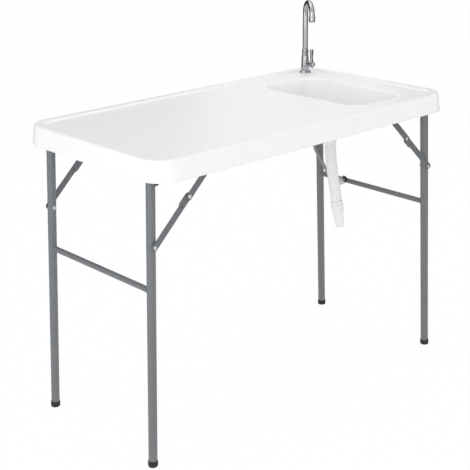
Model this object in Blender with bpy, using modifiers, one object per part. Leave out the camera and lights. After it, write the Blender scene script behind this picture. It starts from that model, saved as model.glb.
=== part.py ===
"""Folding sink table: a moulded top with a basin, tap and drain hose, on two folding leg frames.

Metres, +Z up. The origin is on the floor under the middle of the top, +X towards the basin end,
-Y towards the side that a person works at. Run with: blender --background --python part.py
"""

import math

import bmesh
import bpy
from mathutils import Matrix, Vector
from mathutils.geometry import interpolate_bezier

# The moulded top.
TOP_LENGTH = 1.124  # over the apron's foot, as the width is
TOP_WIDTH = 0.594
TOP_SHIFT = -0.004  # the moulding's middle, from the middle of the legs
TOP_FLARE = 0.006  # how far the apron leans out from the rim to its foot
TOP_HEIGHT = 0.848  # floor to the top of the rim
TOP_CORNER_R = 0.075
APRON_DEPTH = 0.055
APRON_WALL = 0.020
APRON_INNER_R = 0.030  # its inside corners
DECK_THICKNESS = 0.0135
RIM_WIDTH = 0.034  # from the apron's foot to the field
RIM_EDGE_R = 0.007
FIELD_DROP = 0.004  # the working field lies this much under the rim
GROOVE_R = 0.005
GROOVE_DROP = 0.0018
GROOVE_INSET = 0.006  # from the foot of the rim to the middle of the groove
SCALLOP_R = 0.016
SCALLOP_DEPTH = 0.006
SCALLOP_PITCH = 0.062
PIT_SIZE = 0.013
PIT_DEPTH = 0.008
PIT_PITCH = 0.062

# The basin moulded into the top.
BASIN_FROM_END = 0.229  # the right end to the basin's middle
BASIN_Y = -0.0175
BASIN_LENGTH_X = 0.228
BASIN_LENGTH_Y = 0.397
BASIN_CORNER_R = 0.062
BASIN_DEPTH = 0.080  # rim to basin floor
BASIN_WALL = 0.003
BASIN_LIP = 0.006  # how far the rounded lip draws in
BASIN_DRAFT = 0.007  # how much further each wall leans in over its height
BASIN_FLOOR_R = 0.020
SURROUND_MARGIN = 0.009  # the deck's inset piece round the opening, past its edge
BEND_MARGIN = 0.001  # from the top of the floor's rounding up to the seam under the wall
FLOOR_SEAM = 0.0064  # from the floor up to the seam between it and the bend

# The legs and the frames that they belong to.
LEG_R = 0.012
TUBE_WALL = 0.0012
LEG_INSET_X = 0.048  # from the top's end to a leg's axis, at the height of the rim
LEG_INSET_Y = 0.0798
LEAN_X = 0.0511  # outward lean of each leg, as a slope
LEAN_Y = 0.0157
FRAME_SHIFT = 0.0135  # each frame sits this far off the middle, so that the two nest
LEFT_PIVOT_DROP = 0.066  # rim to pivot
RIGHT_PIVOT_DROP = 0.040
PIVOT_BAR_R = 0.008
PIVOT_BAR_OVERHANG = 0.025  # past each leg's axis
CROSSBAR_R = 0.008
CROSSBAR_DROP = 0.3553  # rim to crossbar
FOOT_R = 0.0135
FOOT_HEIGHT = 0.024
FOOT_FLOOR = 0.0035

# The locking braces.
BRACE_RIVET_DROP = 0.236  # rim to the rivet in the leg
BRACE_SLOPE = math.radians(43.8)
LOWER_LINK = 0.158  # rivet to knuckle
FOLDED_DIP = math.radians(3.0)  # how far the folded upper link points down
LINK_WIDTH = 0.015
LINK_THICKNESS = 0.0025
LINK_STANDOFF = 0.003  # leg's side to the inner link
LINK_HEAD_EXTRA = 0.005
LINK_HEAD_LENGTH = 0.038
LINK_END = 0.009  # past the knuckle
STOP_HOLE_R = 0.002
STOP_HOLE_FROM_KNUCKLE = 0.033
RIVET_R = 0.003
RIVET_HEAD_R = 0.005
RIVET_HEAD_H = 0.002
BRACKET_PLATE = 0.0022
BRACKET_FLANGE_X = 0.036
BRACKET_FLANGE_Y = 0.014
PIVOT_BRACKET_Y = 0.011
PIVOT_BRACKET_FLANGE_X = 0.036
PIVOT_BRACKET_WALL = 0.003

# The tap, in the corner behind the basin.
TAP_FROM_END = 0.084
TAP_FROM_REAR = 0.065
TAP_FLANGE_R = 0.0205
TAP_FLANGE_H = 0.007
TAP_BODY_R = 0.0125
TAP_BODY_TOP_R = 0.0102
TAP_BODY_H = 0.058
TAP_COLLAR_R = 0.0108
TAP_COLLAR_H = 0.009
SPOUT_R = 0.0085
SPOUT_WALL = 0.0012
SPOUT_BEND_R = 0.038
SPOUT_OUTLET_H = 0.175  # deck to the outlet's lower edge
AERATOR_R = 0.0118
AERATOR_H = 0.018
VALVE_H = 0.029  # deck to the valve's axis
VALVE_R = 0.0080
VALVE_REACH = 0.024  # tap axis to the end of the valve's housing
LEVER_HUB_R = 0.0086
LEVER_HUB_LENGTH = 0.010
LEVER_LENGTH = 0.050
LEVER_CAP_R = 0.0088
LEVER_CAP_LENGTH = 0.003
LEVER_CAP_SINK = 0.001  # how far it sits in the hub
SHANK_R = 0.0102
SHANK_BORE_R = 0.0050
SHANK_BELOW_DECK = 0.044
LOCKNUT_R = 0.0144
LOCKNUT_H = 0.0085

# The supply hose under the tap.
SUPPLY_R = 0.0052
SUPPLY_NUT_R = 0.0136
SUPPLY_NUT_H = 0.024
END_NUT_R = 0.0132
END_NUT_LENGTH = 0.022
END_WASHER_R = 0.0125
END_WASHER_LENGTH = 0.004
# Exit at the tap, down behind the brace, forward under the top, and the curled-up end.
SUPPLY_ROUTE = [
    (0.4780, 0.2320, 0.7780),
    (0.4780, 0.2320, 0.7600),
    (0.4790, 0.2290, 0.7380),
    (0.4815, 0.2200, 0.7100),
    (0.4850, 0.2105, 0.6780),
    (0.4880, 0.2060, 0.6450),
    (0.4900, 0.2020, 0.6150),
    (0.4900, 0.1920, 0.5880),
    (0.4900, 0.1760, 0.5660),
    (0.4900, 0.1580, 0.5450),
    (0.4900, 0.1420, 0.5250),
    (0.4900, 0.1270, 0.5070),
    (0.4900, 0.1090, 0.4960),
    (0.4900, 0.0900, 0.4960),
    (0.4900, 0.0740, 0.5040),
]

# The drain and its hose.
DRAIN_HOLE_R = 0.0200
DRAIN_FLANGE_R = 0.0290
DRAIN_BODY_R = 0.0165
DRAIN_BORE_R = 0.0140
DRAIN_NUT_R = 0.0270
DRAIN_NUT_H = 0.012
DRAIN_TAIL_DROP = 0.0475  # basin floor to the tail's end
STRAINER_R = 0.0135
STRAINER_HOLE_R = 0.0019
COLLAR_R = 0.0192
COLLAR_LENGTH = 0.048
COLLAR_LAP = 0.0035  # over the drain's tail
HOSE_R = 0.0175
HOSE_VALLEY = 0.90  # a valley's radius, as a share of a rib's
HOSE_BORE_R = 0.0138
HOSE_RIB_PITCH = 0.0048
HOSE_PLAIN_TOP = 0.046  # smooth inside the collar
HOSE_PLAIN_END = 0.021  # smooth inside the cuff and the coupling
CUFF_R = 0.0188
CUFF_LENGTH = 0.011
COUPLING_R = 0.0198
COUPLING_LENGTH = 0.0225
TAIL_R = 0.0145  # inside the coupling
TAIL_TOP_R = 0.0162
TAIL_END_R = 0.0130
TAIL_WALL = 0.0022
TAIL_LENGTH = 0.059
TAIL_IN_COUPLING = 0.009
HOSE_IN_COUPLING = 0.008
HOSE_ROUTE = [
    (0.3330, -0.0175, 0.7200),
    (0.3330, -0.0177, 0.6950),
    (0.3333, -0.0184, 0.6700),
    (0.3340, -0.0200, 0.6400),
    (0.3350, -0.0230, 0.6100),
    (0.3368, -0.0275, 0.5800),
    (0.3390, -0.0320, 0.5500),
    (0.3412, -0.0360, 0.5200),
    (0.3446, -0.0420, 0.4740),
]

# Fits.
SEAT_GAP = 0.0003  # between faces that meet
CUT_PAST = 0.01  # how far a cutter runs past what it cuts
TURNING_GAP = 0.0005  # between a pin and its hole, on the radius
ROUND = 20  # sides of a tube
SMALL_ROUND = 12  # sides of a rivet or a small hole

FIELD_Z = TOP_HEIGHT - FIELD_DROP
UNDERSIDE_Z = FIELD_Z - DECK_THICKNESS
APRON_Z = TOP_HEIGHT - APRON_DEPTH
BASIN_FLOOR_Z = TOP_HEIGHT - BASIN_DEPTH
SEAT_Z = UNDERSIDE_Z - SEAT_GAP
BEND_TOP_Z = BASIN_FLOOR_Z + BASIN_FLOOR_R + BEND_MARGIN
BEND_LOW_Z = BASIN_FLOOR_Z + FLOOR_SEAM
BASIN_X = TOP_LENGTH / 2 - BASIN_FROM_END
LEG_X = TOP_LENGTH / 2 - LEG_INSET_X
LEG_Y = TOP_WIDTH / 2 - LEG_INSET_Y
LEFT_PIVOT_Z = TOP_HEIGHT - LEFT_PIVOT_DROP
RIGHT_PIVOT_Z = TOP_HEIGHT - RIGHT_PIVOT_DROP
CROSSBAR_Z = TOP_HEIGHT - CROSSBAR_DROP
BRACE_RIVET_Z = TOP_HEIGHT - BRACE_RIVET_DROP
TAP_X = TOP_LENGTH / 2 - TAP_FROM_END
TAP_Y = TOP_WIDTH / 2 - TAP_FROM_REAR
DRAIN_TAIL_Z = BASIN_FLOOR_Z - DRAIN_TAIL_DROP
COLLAR_TOP_Z = DRAIN_TAIL_Z + COLLAR_LAP
COLLAR_BOTTOM_Z = COLLAR_TOP_Z - COLLAR_LENGTH
TOP_MIDDLE = (TOP_SHIFT, 0.0, 0.0)
FOLD_ANGLE = math.pi / 2 + math.atan(LEAN_X)
SPOUT_HEADING = math.atan2(BASIN_Y - TAP_Y, BASIN_X - TAP_X)

MATERIALS = {
    "moulded_top": ((0.91, 0.91, 0.92), 0.45, 0.0),
    "frame_steel": ((0.20, 0.215, 0.225), 0.5, 0.3),
    "link_steel": ((0.17, 0.18, 0.19), 0.5, 0.4),
    "zinc": ((0.72, 0.72, 0.70), 0.35, 1.0),
    "foot_plastic": ((0.05, 0.05, 0.055), 0.6, 0.0),
    "chrome": ((0.78, 0.78, 0.79), 0.15, 1.0),
    "white_plastic": ((0.86, 0.86, 0.85), 0.4, 0.0),
    "rubber": ((0.03, 0.03, 0.03), 0.7, 0.0),
    "braid": ((0.62, 0.62, 0.61), 0.35, 0.9),
}


def clear_scene():
    for item in list(bpy.data.objects):
        bpy.data.objects.remove(item, do_unlink=True)


def make_material(name):
    colour, roughness, metallic = MATERIALS[name]
    material = bpy.data.materials.get(name)
    if material is None:
        material = bpy.data.materials.new(name)
        material.use_nodes = True
        shader = material.node_tree.nodes["Principled BSDF"]
        shader.inputs["Base Color"].default_value = (*colour, 1.0)
        shader.inputs["Roughness"].default_value = roughness
        shader.inputs["Metallic"].default_value = metallic
    return material


def make_collection(name):
    collection = bpy.data.collections.new(name)
    bpy.context.scene.collection.children.link(collection)
    return collection


def add_object(name, mesh, material, matrix=None):
    """Adds a mesh to the part's collection, or to the cutters' where material is None."""
    item = bpy.data.objects.new(name, mesh)
    (CUTTERS if material is None else PART).objects.link(item)
    if material is None:
        item.hide_render = True
        item.display_type = "WIRE"
    else:
        mesh.materials.append(make_material(material))
    if matrix is not None:
        item.matrix_world = matrix
    return item


def finish_bmesh(name, shape):
    mesh = bpy.data.meshes.new(name)
    shape.to_mesh(mesh)
    shape.free()
    return mesh


def box(name, low, high, material=None):
    """A box between two corners, with its origin at its middle."""
    shape = bmesh.new()
    bmesh.ops.create_cube(shape, size=1.0)
    size = [b - a for a, b in zip(low, high)]
    bmesh.ops.scale(shape, vec=size, verts=shape.verts)
    middle = [(a + b) / 2 for a, b in zip(low, high)]
    return add_object(name, finish_bmesh(name, shape), material, Matrix.Translation(middle))


def along(start, end):
    """A matrix at start whose Z axis points to end."""
    start, end = Vector(start), Vector(end)
    turn = (end - start).to_track_quat("Z", "Y").to_matrix().to_4x4()
    return Matrix.Translation(start) @ turn


def rod(name, start, end, radius, material=None, sides=ROUND, overrun=0.0):
    """A solid round bar from start to end, run past both ends by overrun."""
    length = (Vector(end) - Vector(start)).length
    shape = bmesh.new()
    bmesh.ops.create_cone(
        shape, cap_ends=True, segments=sides, radius1=radius, radius2=radius, depth=length + 2 * overrun
    )
    bmesh.ops.translate(shape, vec=(0, 0, length / 2), verts=shape.verts)
    return add_object(name, finish_bmesh(name, shape), material, along(start, end))


def turned(name, profile, matrix, material=None, sides=ROUND, closed=False):
    """A turned solid. profile is (radius, height) down the outside; closed makes it a ring."""
    mesh = bpy.data.meshes.new(name)
    edges = [(i, i + 1) for i in range(len(profile) - 1)]
    if closed:
        edges.append((len(profile) - 1, 0))
    mesh.from_pydata([(r, 0.0, z) for r, z in profile], edges, [])
    item = add_object(name, mesh, material, matrix)
    screw = item.modifiers.new("Turn", "SCREW")
    screw.steps = screw.render_steps = sides
    screw.use_merge_vertices = True
    screw.merge_threshold = 0.00001
    screw.use_smooth_shade = False
    return item


def ring(name, start, end, outer, inner, material=None, sides=ROUND):
    """A round tube with square ends."""
    length = (Vector(end) - Vector(start)).length
    profile = [(outer, length), (outer, 0.0), (inner, 0.0), (inner, length)]
    return turned(name, profile, along(start, end), material, sides, closed=True)


def boolean(target, other, operation="DIFFERENCE"):
    modifier = target.modifiers.new(operation.title(), "BOOLEAN")
    modifier.operation = operation
    modifier.object = other
    modifier.solver = "EXACT"
    return modifier


def rounded_outline(half_x, half_y, radius, steps=6):
    """Points round a rectangle with rounded corners, anticlockwise."""
    points = []
    for quarter, (sx, sy) in enumerate([(1, 1), (-1, 1), (-1, -1), (1, -1)]):
        for step in range(steps + 1):
            angle = math.pi / 2 * (quarter + step / steps)
            points.append(
                (
                    sx * (half_x - radius) + radius * math.cos(angle),
                    sy * (half_y - radius) + radius * math.sin(angle),
                )
            )
    return points


def stacked(name, half_x, half_y, radius, levels, centre, material=None, steps=6):
    """A solid whose sections are one rounded rectangle drawn in by each level's inset.

    levels are (height, inset) from top to bottom; the first and last are capped.
    """
    shape = bmesh.new()
    rows = []
    for height, inset in levels:
        outline = rounded_outline(half_x - inset, half_y - inset, max(radius - inset, 0.004), steps)
        rows.append([shape.verts.new((x, y, height)) for x, y in outline])
    for upper, lower in zip(rows, rows[1:]):
        count = len(upper)
        for i in range(count):
            j = (i + 1) % count
            shape.faces.new((lower[i], lower[j], upper[j], upper[i]))
    shape.faces.new(rows[0])
    shape.faces.new(list(reversed(rows[-1])))
    return add_object(name, finish_bmesh(name, shape), material, Matrix.Translation(centre))


def plate(name, outline, holes, thickness, matrix, material=None, sides=SMALL_ROUND):
    """A flat plate cut from an outline, with round holes (x, y, radius). Its middle plane is local XY."""
    curve = bpy.data.curves.new(name, "CURVE")
    curve.dimensions = "2D"
    curve.fill_mode = "BOTH"
    curve.extrude = thickness / 2
    circles = [
        [
            (x + r * math.cos(2 * math.pi * i / sides), y + r * math.sin(2 * math.pi * i / sides))
            for i in range(sides)
        ]
        for x, y, r in holes
    ]
    for points in [outline, *circles]:
        spline = curve.splines.new("POLY")
        spline.points.add(len(points) - 1)
        for point, (x, y) in zip(spline.points, points):
            point.co = (x, y, 0.0, 1.0)
        spline.use_cyclic_u = True
    return curve_to_mesh(name, curve, matrix, material)


def curve_to_mesh(name, curve, matrix, material):
    """Makes a curve a closed mesh object with its caps welded."""
    guide = bpy.data.objects.new(name + "_curve", curve)
    CUTTERS.objects.link(guide)
    mesh = bpy.data.meshes.new_from_object(guide.evaluated_get(bpy.context.evaluated_depsgraph_get()))
    bpy.data.objects.remove(guide, do_unlink=True)
    shape = bmesh.new()
    shape.from_mesh(mesh)
    bmesh.ops.remove_doubles(shape, verts=shape.verts, dist=0.000005)
    bmesh.ops.recalc_face_normals(shape, faces=shape.faces)
    shape.to_mesh(mesh)
    shape.free()
    mesh.name = name
    mesh.materials.clear()
    return add_object(name, mesh, material, matrix)


def pipe(name, points, radius, radii=None, resolution=2, material=None):
    """A round bar along points, with a share of the radius for each point."""
    curve = bpy.data.curves.new(name, "CURVE")
    curve.dimensions = "3D"
    curve.bevel_depth = radius
    curve.bevel_resolution = resolution
    curve.use_fill_caps = True
    spline = curve.splines.new("POLY")
    spline.points.add(len(points) - 1)
    for index, (point, place) in enumerate(zip(spline.points, points)):
        point.co = (*place, 1.0)
        point.radius = radii[index] if radii else 1.0
    return curve_to_mesh(name, curve, None, material)


def smooth_route(route, step):
    """Points about step apart on one smooth curve through the route's points."""
    knots = [Vector(p) for p in route]
    dense = []
    for i in range(len(knots) - 1):
        before = knots[max(i - 1, 0)]
        after = knots[min(i + 2, len(knots) - 1)]
        pull = (knots[i + 1] - before) / 6
        push = (after - knots[i]) / 6
        part = interpolate_bezier(knots[i], knots[i] + pull, knots[i + 1] - push, knots[i + 1], 24)
        dense += part if i == 0 else part[1:]
    lengths = [0.0]
    for a, b in zip(dense, dense[1:]):
        lengths.append(lengths[-1] + (b - a).length)
    count = max(2, round(lengths[-1] / step))
    points, k = [], 0
    for n in range(count + 1):
        goal = lengths[-1] * n / count
        while k < len(dense) - 2 and lengths[k + 1] < goal:
            k += 1
        share = (goal - lengths[k]) / max(lengths[k + 1] - lengths[k], 1e-9)
        points.append(dense[k].lerp(dense[k + 1], min(max(share, 0.0), 1.0)))
    return points


def in_side_plane(side, place):
    """A matrix at place whose X points inboard, Y points up and Z runs across the table."""
    inboard = Vector((-side, 0, 0))
    up = Vector((0, 0, 1))
    across = inboard.cross(up)
    turn = Matrix((inboard, up, across)).transposed().to_4x4()
    return Matrix.Translation(Vector(place)) @ turn


def name_of(side, end):
    return f"{'left' if side < 0 else 'right'}_{'front' if end < 0 else 'rear'}"


def pivot_z(side):
    return LEFT_PIVOT_Z if side < 0 else RIGHT_PIVOT_Z


def frame_middle(side):
    return -side * FRAME_SHIFT


def leg_point(side, end, z):
    """The point at height z on a leg's axis."""
    below = TOP_HEIGHT - z
    return Vector(
        (
            side * (LEG_X + LEAN_X * below),
            end * (LEG_Y + LEAN_Y * below) + frame_middle(side),
            z,
        )
    )


def brace_geometry(side):
    """Where a brace's upper pivot lies, and its upper link's length.

    Works in a plane with X inboard and Y up, at the leg pivot. The straight brace runs from the leg's
    rivet at BRACE_SLOPE; folded, the upper link points inboard and FOLDED_DIP down, and the lower link
    still reaches from the rivet to the knuckle. That leaves one length for the whole brace.
    """
    pivot = leg_point(side, 1, pivot_z(side))
    rivet = leg_point(side, 1, BRACE_RIVET_Z)
    start = Vector((abs(pivot.x) - abs(rivet.x), rivet.z - pivot.z))
    folded = Matrix.Rotation(FOLD_ANGLE, 2) @ start
    rising = Vector((math.cos(BRACE_SLOPE), math.sin(BRACE_SLOPE)))
    laid = Vector((math.cos(FOLDED_DIP), -math.sin(FOLDED_DIP)))
    fixed = start - folded - LOWER_LINK * laid
    growth = rising + laid
    square, half = growth.dot(growth), fixed.dot(growth)
    root = math.sqrt(half * half - square * (fixed.dot(fixed) - LOWER_LINK**2))
    whole = (-half + root) / square
    upper = start + whole * rising
    place = Vector((side * (abs(pivot.x) - upper.x), 0, pivot.z + upper.y))
    return place, whole - LOWER_LINK


def link_outline(length, head, sign):
    """A link along +X from its first pivot: one round end, one cut end, and a wider head on one side."""
    half = LINK_WIDTH / 2
    chamfer = 0.003
    points = []
    for i in range(9):
        angle = math.pi / 2 + math.pi * i / 8
        points.append((half * math.cos(angle), half * math.sin(angle)))
    end = length + LINK_END
    points += [(end - chamfer, -half), (end, -half + chamfer), (end, half - chamfer)]
    if head:
        points += [
            (end - chamfer, half),
            (length, half + head),
            (length - LINK_HEAD_LENGTH + 2 * head, half + head),
            (length - LINK_HEAD_LENGTH, half),
        ]
    else:
        points.append((end - chamfer, half))
    return [(x, sign * y) for x, y in points]


def link_plane(side, end, order):
    """The middle of a brace link's thickness across the table: order 0 lies by the leg, 1 outside it."""
    leg_y = leg_point(side, end, BRACE_RIVET_Z).y
    inner = LEG_R + LINK_STANDOFF + order * (LINK_THICKNESS + SEAT_GAP)
    return leg_y + end * (inner + LINK_THICKNESS / 2)


def lean_at(z):
    """How far the moulding's outside is drawn in at height z, from the apron's foot."""
    return TOP_FLARE * (z - APRON_Z) / (TOP_HEIGHT - RIM_EDGE_R - APRON_Z)


def build_top():
    """The deck with its rim, and a square opening for the basin's surround."""
    top = stacked(
        "table_top",
        TOP_LENGTH / 2,
        TOP_WIDTH / 2,
        TOP_CORNER_R,
        [
            (TOP_HEIGHT, TOP_FLARE + RIM_EDGE_R),
            (TOP_HEIGHT - 0.3 * RIM_EDGE_R, TOP_FLARE + 0.3 * RIM_EDGE_R),
            (TOP_HEIGHT - RIM_EDGE_R, TOP_FLARE),
            (UNDERSIDE_Z, lean_at(UNDERSIDE_Z)),
        ],
        TOP_MIDDLE,
        "moulded_top",
        steps=8,
    )
    field = stacked(
        "field_cutter",
        TOP_LENGTH / 2 - RIM_WIDTH,
        TOP_WIDTH / 2 - RIM_WIDTH,
        TOP_CORNER_R - RIM_WIDTH,
        [(TOP_HEIGHT + 0.002, -0.003), (FIELD_Z, 0.002)],
        TOP_MIDDLE,
    )
    boolean(top, field)
    groove_inset = RIM_WIDTH + GROOVE_INSET
    groove_z = FIELD_Z - GROOVE_DROP + GROOVE_R
    groove = ring_channel(
        "groove_cutter",
        rounded_outline(
            TOP_LENGTH / 2 - groove_inset, TOP_WIDTH / 2 - groove_inset, TOP_CORNER_R - groove_inset
        ),
        groove_z,
        GROOVE_R,
    )
    boolean(top, groove)
    boolean(top, basin_block("surround_cutter", SEAT_GAP, APRON_Z, TOP_HEIGHT + CUT_PAST))
    boolean(top, pit_cutter())
    tap_hole = SHANK_R + TURNING_GAP
    boolean(top, rod("tap_cutter", (TAP_X, TAP_Y, APRON_Z), (TAP_X, TAP_Y, TOP_HEIGHT), tap_hole))


def build_apron():
    """The ring that hangs under the deck's edge, with the recesses along its inside."""
    apron = stacked(
        "apron",
        TOP_LENGTH / 2,
        TOP_WIDTH / 2,
        TOP_CORNER_R,
        [(SEAT_Z, lean_at(SEAT_Z)), (APRON_Z + 0.003, lean_at(APRON_Z + 0.003)), (APRON_Z, 0.003)],
        TOP_MIDDLE,
        "moulded_top",
        steps=8,
    )
    under = stacked(
        "under_cutter",
        TOP_LENGTH / 2 - APRON_WALL,
        TOP_WIDTH / 2 - APRON_WALL,
        APRON_INNER_R,
        [(UNDERSIDE_Z, 0.002), (APRON_Z + 0.004, 0.0), (APRON_Z - 0.002, -0.003)],
        TOP_MIDDLE,
    )
    boolean(apron, under)
    boolean(apron, scallop_cutter())


def basin_block(name, grow, low, high, material=None):
    """A block over the basin's opening and SURROUND_MARGIN past it, larger all round by grow."""
    half_x = BASIN_LENGTH_X / 2 + SURROUND_MARGIN + grow
    half_y = BASIN_LENGTH_Y / 2 + SURROUND_MARGIN + grow
    return box(
        name,
        (BASIN_X - half_x, BASIN_Y - half_y, low),
        (BASIN_X + half_x, BASIN_Y + half_y, high),
        material,
    )


def build_basin():
    """The deck's surround of the opening, and the bowl under it: its wall, its bend and its floor."""
    wall_top = FIELD_Z - BASIN_LIP
    wall_bottom = BASIN_FLOOR_Z + BASIN_FLOOR_R
    levels = [
        (wall_top, BASIN_LIP),
        (wall_bottom, BASIN_LIP + BASIN_DRAFT),
        (BASIN_FLOOR_Z + 0.3 * BASIN_FLOOR_R, BASIN_LIP + BASIN_DRAFT + 0.3 * BASIN_FLOOR_R),
        (BASIN_FLOOR_Z, BASIN_LIP + BASIN_DRAFT + BASIN_FLOOR_R),
    ]
    place = (BASIN_X, BASIN_Y, 0)
    hollow = stacked(
        "basin_cutter",
        BASIN_LENGTH_X / 2,
        BASIN_LENGTH_Y / 2,
        BASIN_CORNER_R,
        [
            (TOP_HEIGHT + CUT_PAST, 0.0),
            (FIELD_Z, 0.0),
            (FIELD_Z - 0.3 * BASIN_LIP, 0.6 * BASIN_LIP),
            *levels,
        ],
        place,
    )
    boolean(basin_block("basin_surround", 0.0, UNDERSIDE_Z, FIELD_Z, "moulded_top"), hollow)
    seat_share = (wall_top - BASIN_WALL - SEAT_Z) / (wall_top - wall_bottom)
    outside = [
        (SEAT_Z, BASIN_LIP + seat_share * BASIN_DRAFT),
        *[(z - BASIN_WALL, inset) for z, inset in levels[1:]],
    ]
    below = BASIN_FLOOR_Z - BASIN_WALL - CUT_PAST
    bands = {
        "basin_wall": (BEND_TOP_Z, SEAT_Z + CUT_PAST),
        "basin_bend": (BEND_LOW_Z, BEND_TOP_Z - SEAT_GAP),
        "basin_floor": (below, BEND_LOW_Z - SEAT_GAP),
    }
    for name, (low, high) in bands.items():
        piece = stacked(
            name,
            BASIN_LENGTH_X / 2 + BASIN_WALL,
            BASIN_LENGTH_Y / 2 + BASIN_WALL,
            BASIN_CORNER_R + BASIN_WALL,
            outside,
            place,
            "moulded_top",
        )
        boolean(piece, hollow)
        boolean(piece, basin_block(name + "_band", 0.0, low, high), "INTERSECT")
    drain = rod("drain_cutter", (BASIN_X, BASIN_Y, below), (BASIN_X, BASIN_Y, FIELD_Z), DRAIN_HOLE_R)
    boolean(PART.objects["basin_floor"], drain)


def ring_channel(name, outline, z, radius):
    """A closed round bar along a flat outline round the moulding's middle, as a cutter."""
    curve = bpy.data.curves.new(name, "CURVE")
    curve.dimensions = "3D"
    curve.bevel_depth = radius
    curve.bevel_resolution = 2
    spline = curve.splines.new("POLY")
    spline.points.add(len(outline) - 1)
    for point, (x, y) in zip(spline.points, outline):
        point.co = (x + TOP_SHIFT, y, z, 1.0)
    spline.use_cyclic_u = True
    return curve_to_mesh(name, curve, None, None)


def spaced_places(length, pitch):
    """Evenly spaced places about a pitch apart, centred on 0, inside a length."""
    count = max(1, int(length // pitch))
    return [(i - (count - 1) / 2) * pitch for i in range(count)]


def joined_copies(name, places, make):
    """One cutter mesh from many small closed shapes; make adds one at the origin of a new bmesh."""
    whole = bmesh.new()
    for matrix in places:
        piece = bmesh.new()
        make(piece)
        bmesh.ops.transform(piece, matrix=matrix, verts=piece.verts)
        mesh = finish_bmesh(name + "_piece", piece)
        whole.from_mesh(mesh)
        bpy.data.meshes.remove(mesh)
    return add_object(name, finish_bmesh(name, whole), None)


def scallop_cutter():
    """The upright rounded recesses along the inside of the apron."""
    inner_x = TOP_LENGTH / 2 - APRON_WALL
    inner_y = TOP_WIDTH / 2 - APRON_WALL
    setback = SCALLOP_R - SCALLOP_DEPTH
    bottom = APRON_Z + 0.006
    top = UNDERSIDE_Z - 0.004
    height = top - bottom
    corner = 2 * TOP_CORNER_R
    places = []
    for x in spaced_places(2 * inner_x - corner, SCALLOP_PITCH):
        for sign in (-1, 1):
            y = sign * (inner_y - setback)
            places.append(Matrix.Translation((x + TOP_SHIFT, y, bottom + height / 2)))
    for y in spaced_places(2 * inner_y - corner, SCALLOP_PITCH):
        for sign in (-1, 1):
            x = TOP_SHIFT + sign * (inner_x - setback)
            places.append(Matrix.Translation((x, y, bottom + height / 2)))

    def make(piece):
        bmesh.ops.create_cone(
            piece, cap_ends=True, segments=10, radius1=SCALLOP_R, radius2=SCALLOP_R, depth=height
        )

    return joined_copies("scallop_cutter", places, make)


def pit_cutter():
    """Square pits in the underside, where the mould pinches the two skins together."""
    clear_x = BASIN_LENGTH_X / 2 + BASIN_WALL + PIT_SIZE
    clear_y = BASIN_LENGTH_Y / 2 + BASIN_WALL + PIT_SIZE
    places = []
    for step in spaced_places(TOP_LENGTH - 2 * APRON_WALL - PIT_PITCH, PIT_PITCH):
        x = step + TOP_SHIFT
        for y in spaced_places(TOP_WIDTH - 2 * APRON_WALL - PIT_PITCH, PIT_PITCH):
            over_basin = abs(x - BASIN_X) < clear_x and abs(y - BASIN_Y) < clear_y
            over_tap = math.hypot(x - TAP_X, y - TAP_Y) < LOCKNUT_R + PIT_SIZE
            if not over_basin and not over_tap:
                places.append(Matrix.Translation((x, y, UNDERSIDE_Z)))

    def make(piece):
        bmesh.ops.create_cube(piece, size=1.0)
        bmesh.ops.scale(piece, vec=(PIT_SIZE, PIT_SIZE, 2 * PIT_DEPTH), verts=piece.verts)
        inner = [v for v in piece.verts if v.co.z > 0]
        bmesh.ops.scale(piece, vec=(0.7, 0.7, 1.0), verts=inner)

    return joined_copies("pit_cutter", places, make)


def build_frame(side):
    """One leg frame: pivot bar, two legs, crossbar and foot caps."""
    frame = "left" if side < 0 else "right"
    pz = pivot_z(side)
    ends = {end: leg_point(side, end, pz) for end in (-1, 1)}
    reach = Vector((0, PIVOT_BAR_OVERHANG, 0))
    ring(
        f"{frame}_pivot_bar",
        ends[-1] - reach,
        ends[1] + reach,
        PIVOT_BAR_R,
        PIVOT_BAR_R - TUBE_WALL,
        "frame_steel",
    )
    bar_cutter = rod(
        f"{frame}_bar_cutter", ends[-1] - reach, ends[1] + reach, PIVOT_BAR_R + SEAT_GAP, overrun=CUT_PAST
    )
    cross = {end: leg_point(side, end, CROSSBAR_Z) for end in (-1, 1)}
    crossbar = ring(
        f"{frame}_crossbar", cross[-1], cross[1], CROSSBAR_R, CROSSBAR_R - TUBE_WALL, "frame_steel"
    )
    for end in (-1, 1):
        name = name_of(side, end)
        top = leg_point(side, end, pz)
        foot = leg_point(side, end, 0.0)
        down = (foot - top).normalized()
        floor_share = FOOT_FLOOR / -down.z
        bottom = foot - down * floor_share
        leg = ring(f"{name}_leg", bottom, top, LEG_R, LEG_R - TUBE_WALL, "frame_steel")
        boolean(leg, bar_cutter)
        solid = rod(f"{name}_leg_cutter", foot, top, LEG_R + SEAT_GAP, overrun=CUT_PAST)
        boolean(crossbar, solid)
        rivet_at = leg_point(side, end, BRACE_RIVET_Z)
        across = Vector((0, 2 * LEG_R, 0))
        hole = rod(
            f"{name}_rivet_cutter",
            rivet_at - across,
            rivet_at + across,
            RIVET_R + TURNING_GAP,
            sides=SMALL_ROUND,
        )
        boolean(leg, hole)
        build_foot(name, foot, down)


def build_foot(name, foot, down):
    """A plastic cap over a leg's end, cut level where it stands."""
    up = -down
    cap = rod(f"{name}_foot_cap", foot + down * FOOT_R / 4, foot + up * FOOT_HEIGHT, FOOT_R, "foot_plastic")
    bore = rod(
        f"{name}_cap_bore",
        foot + up * (FOOT_FLOOR / up.z - SEAT_GAP),
        foot + up * (FOOT_HEIGHT + CUT_PAST),
        LEG_R + SEAT_GAP,
    )
    boolean(cap, bore)
    reach = 2 * FOOT_R
    ground = box(
        f"{name}_ground_cutter",
        (foot.x - reach, foot.y - reach, -0.02),
        (foot.x + reach, foot.y + reach, 0.0),
    )
    boolean(cap, ground)


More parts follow.
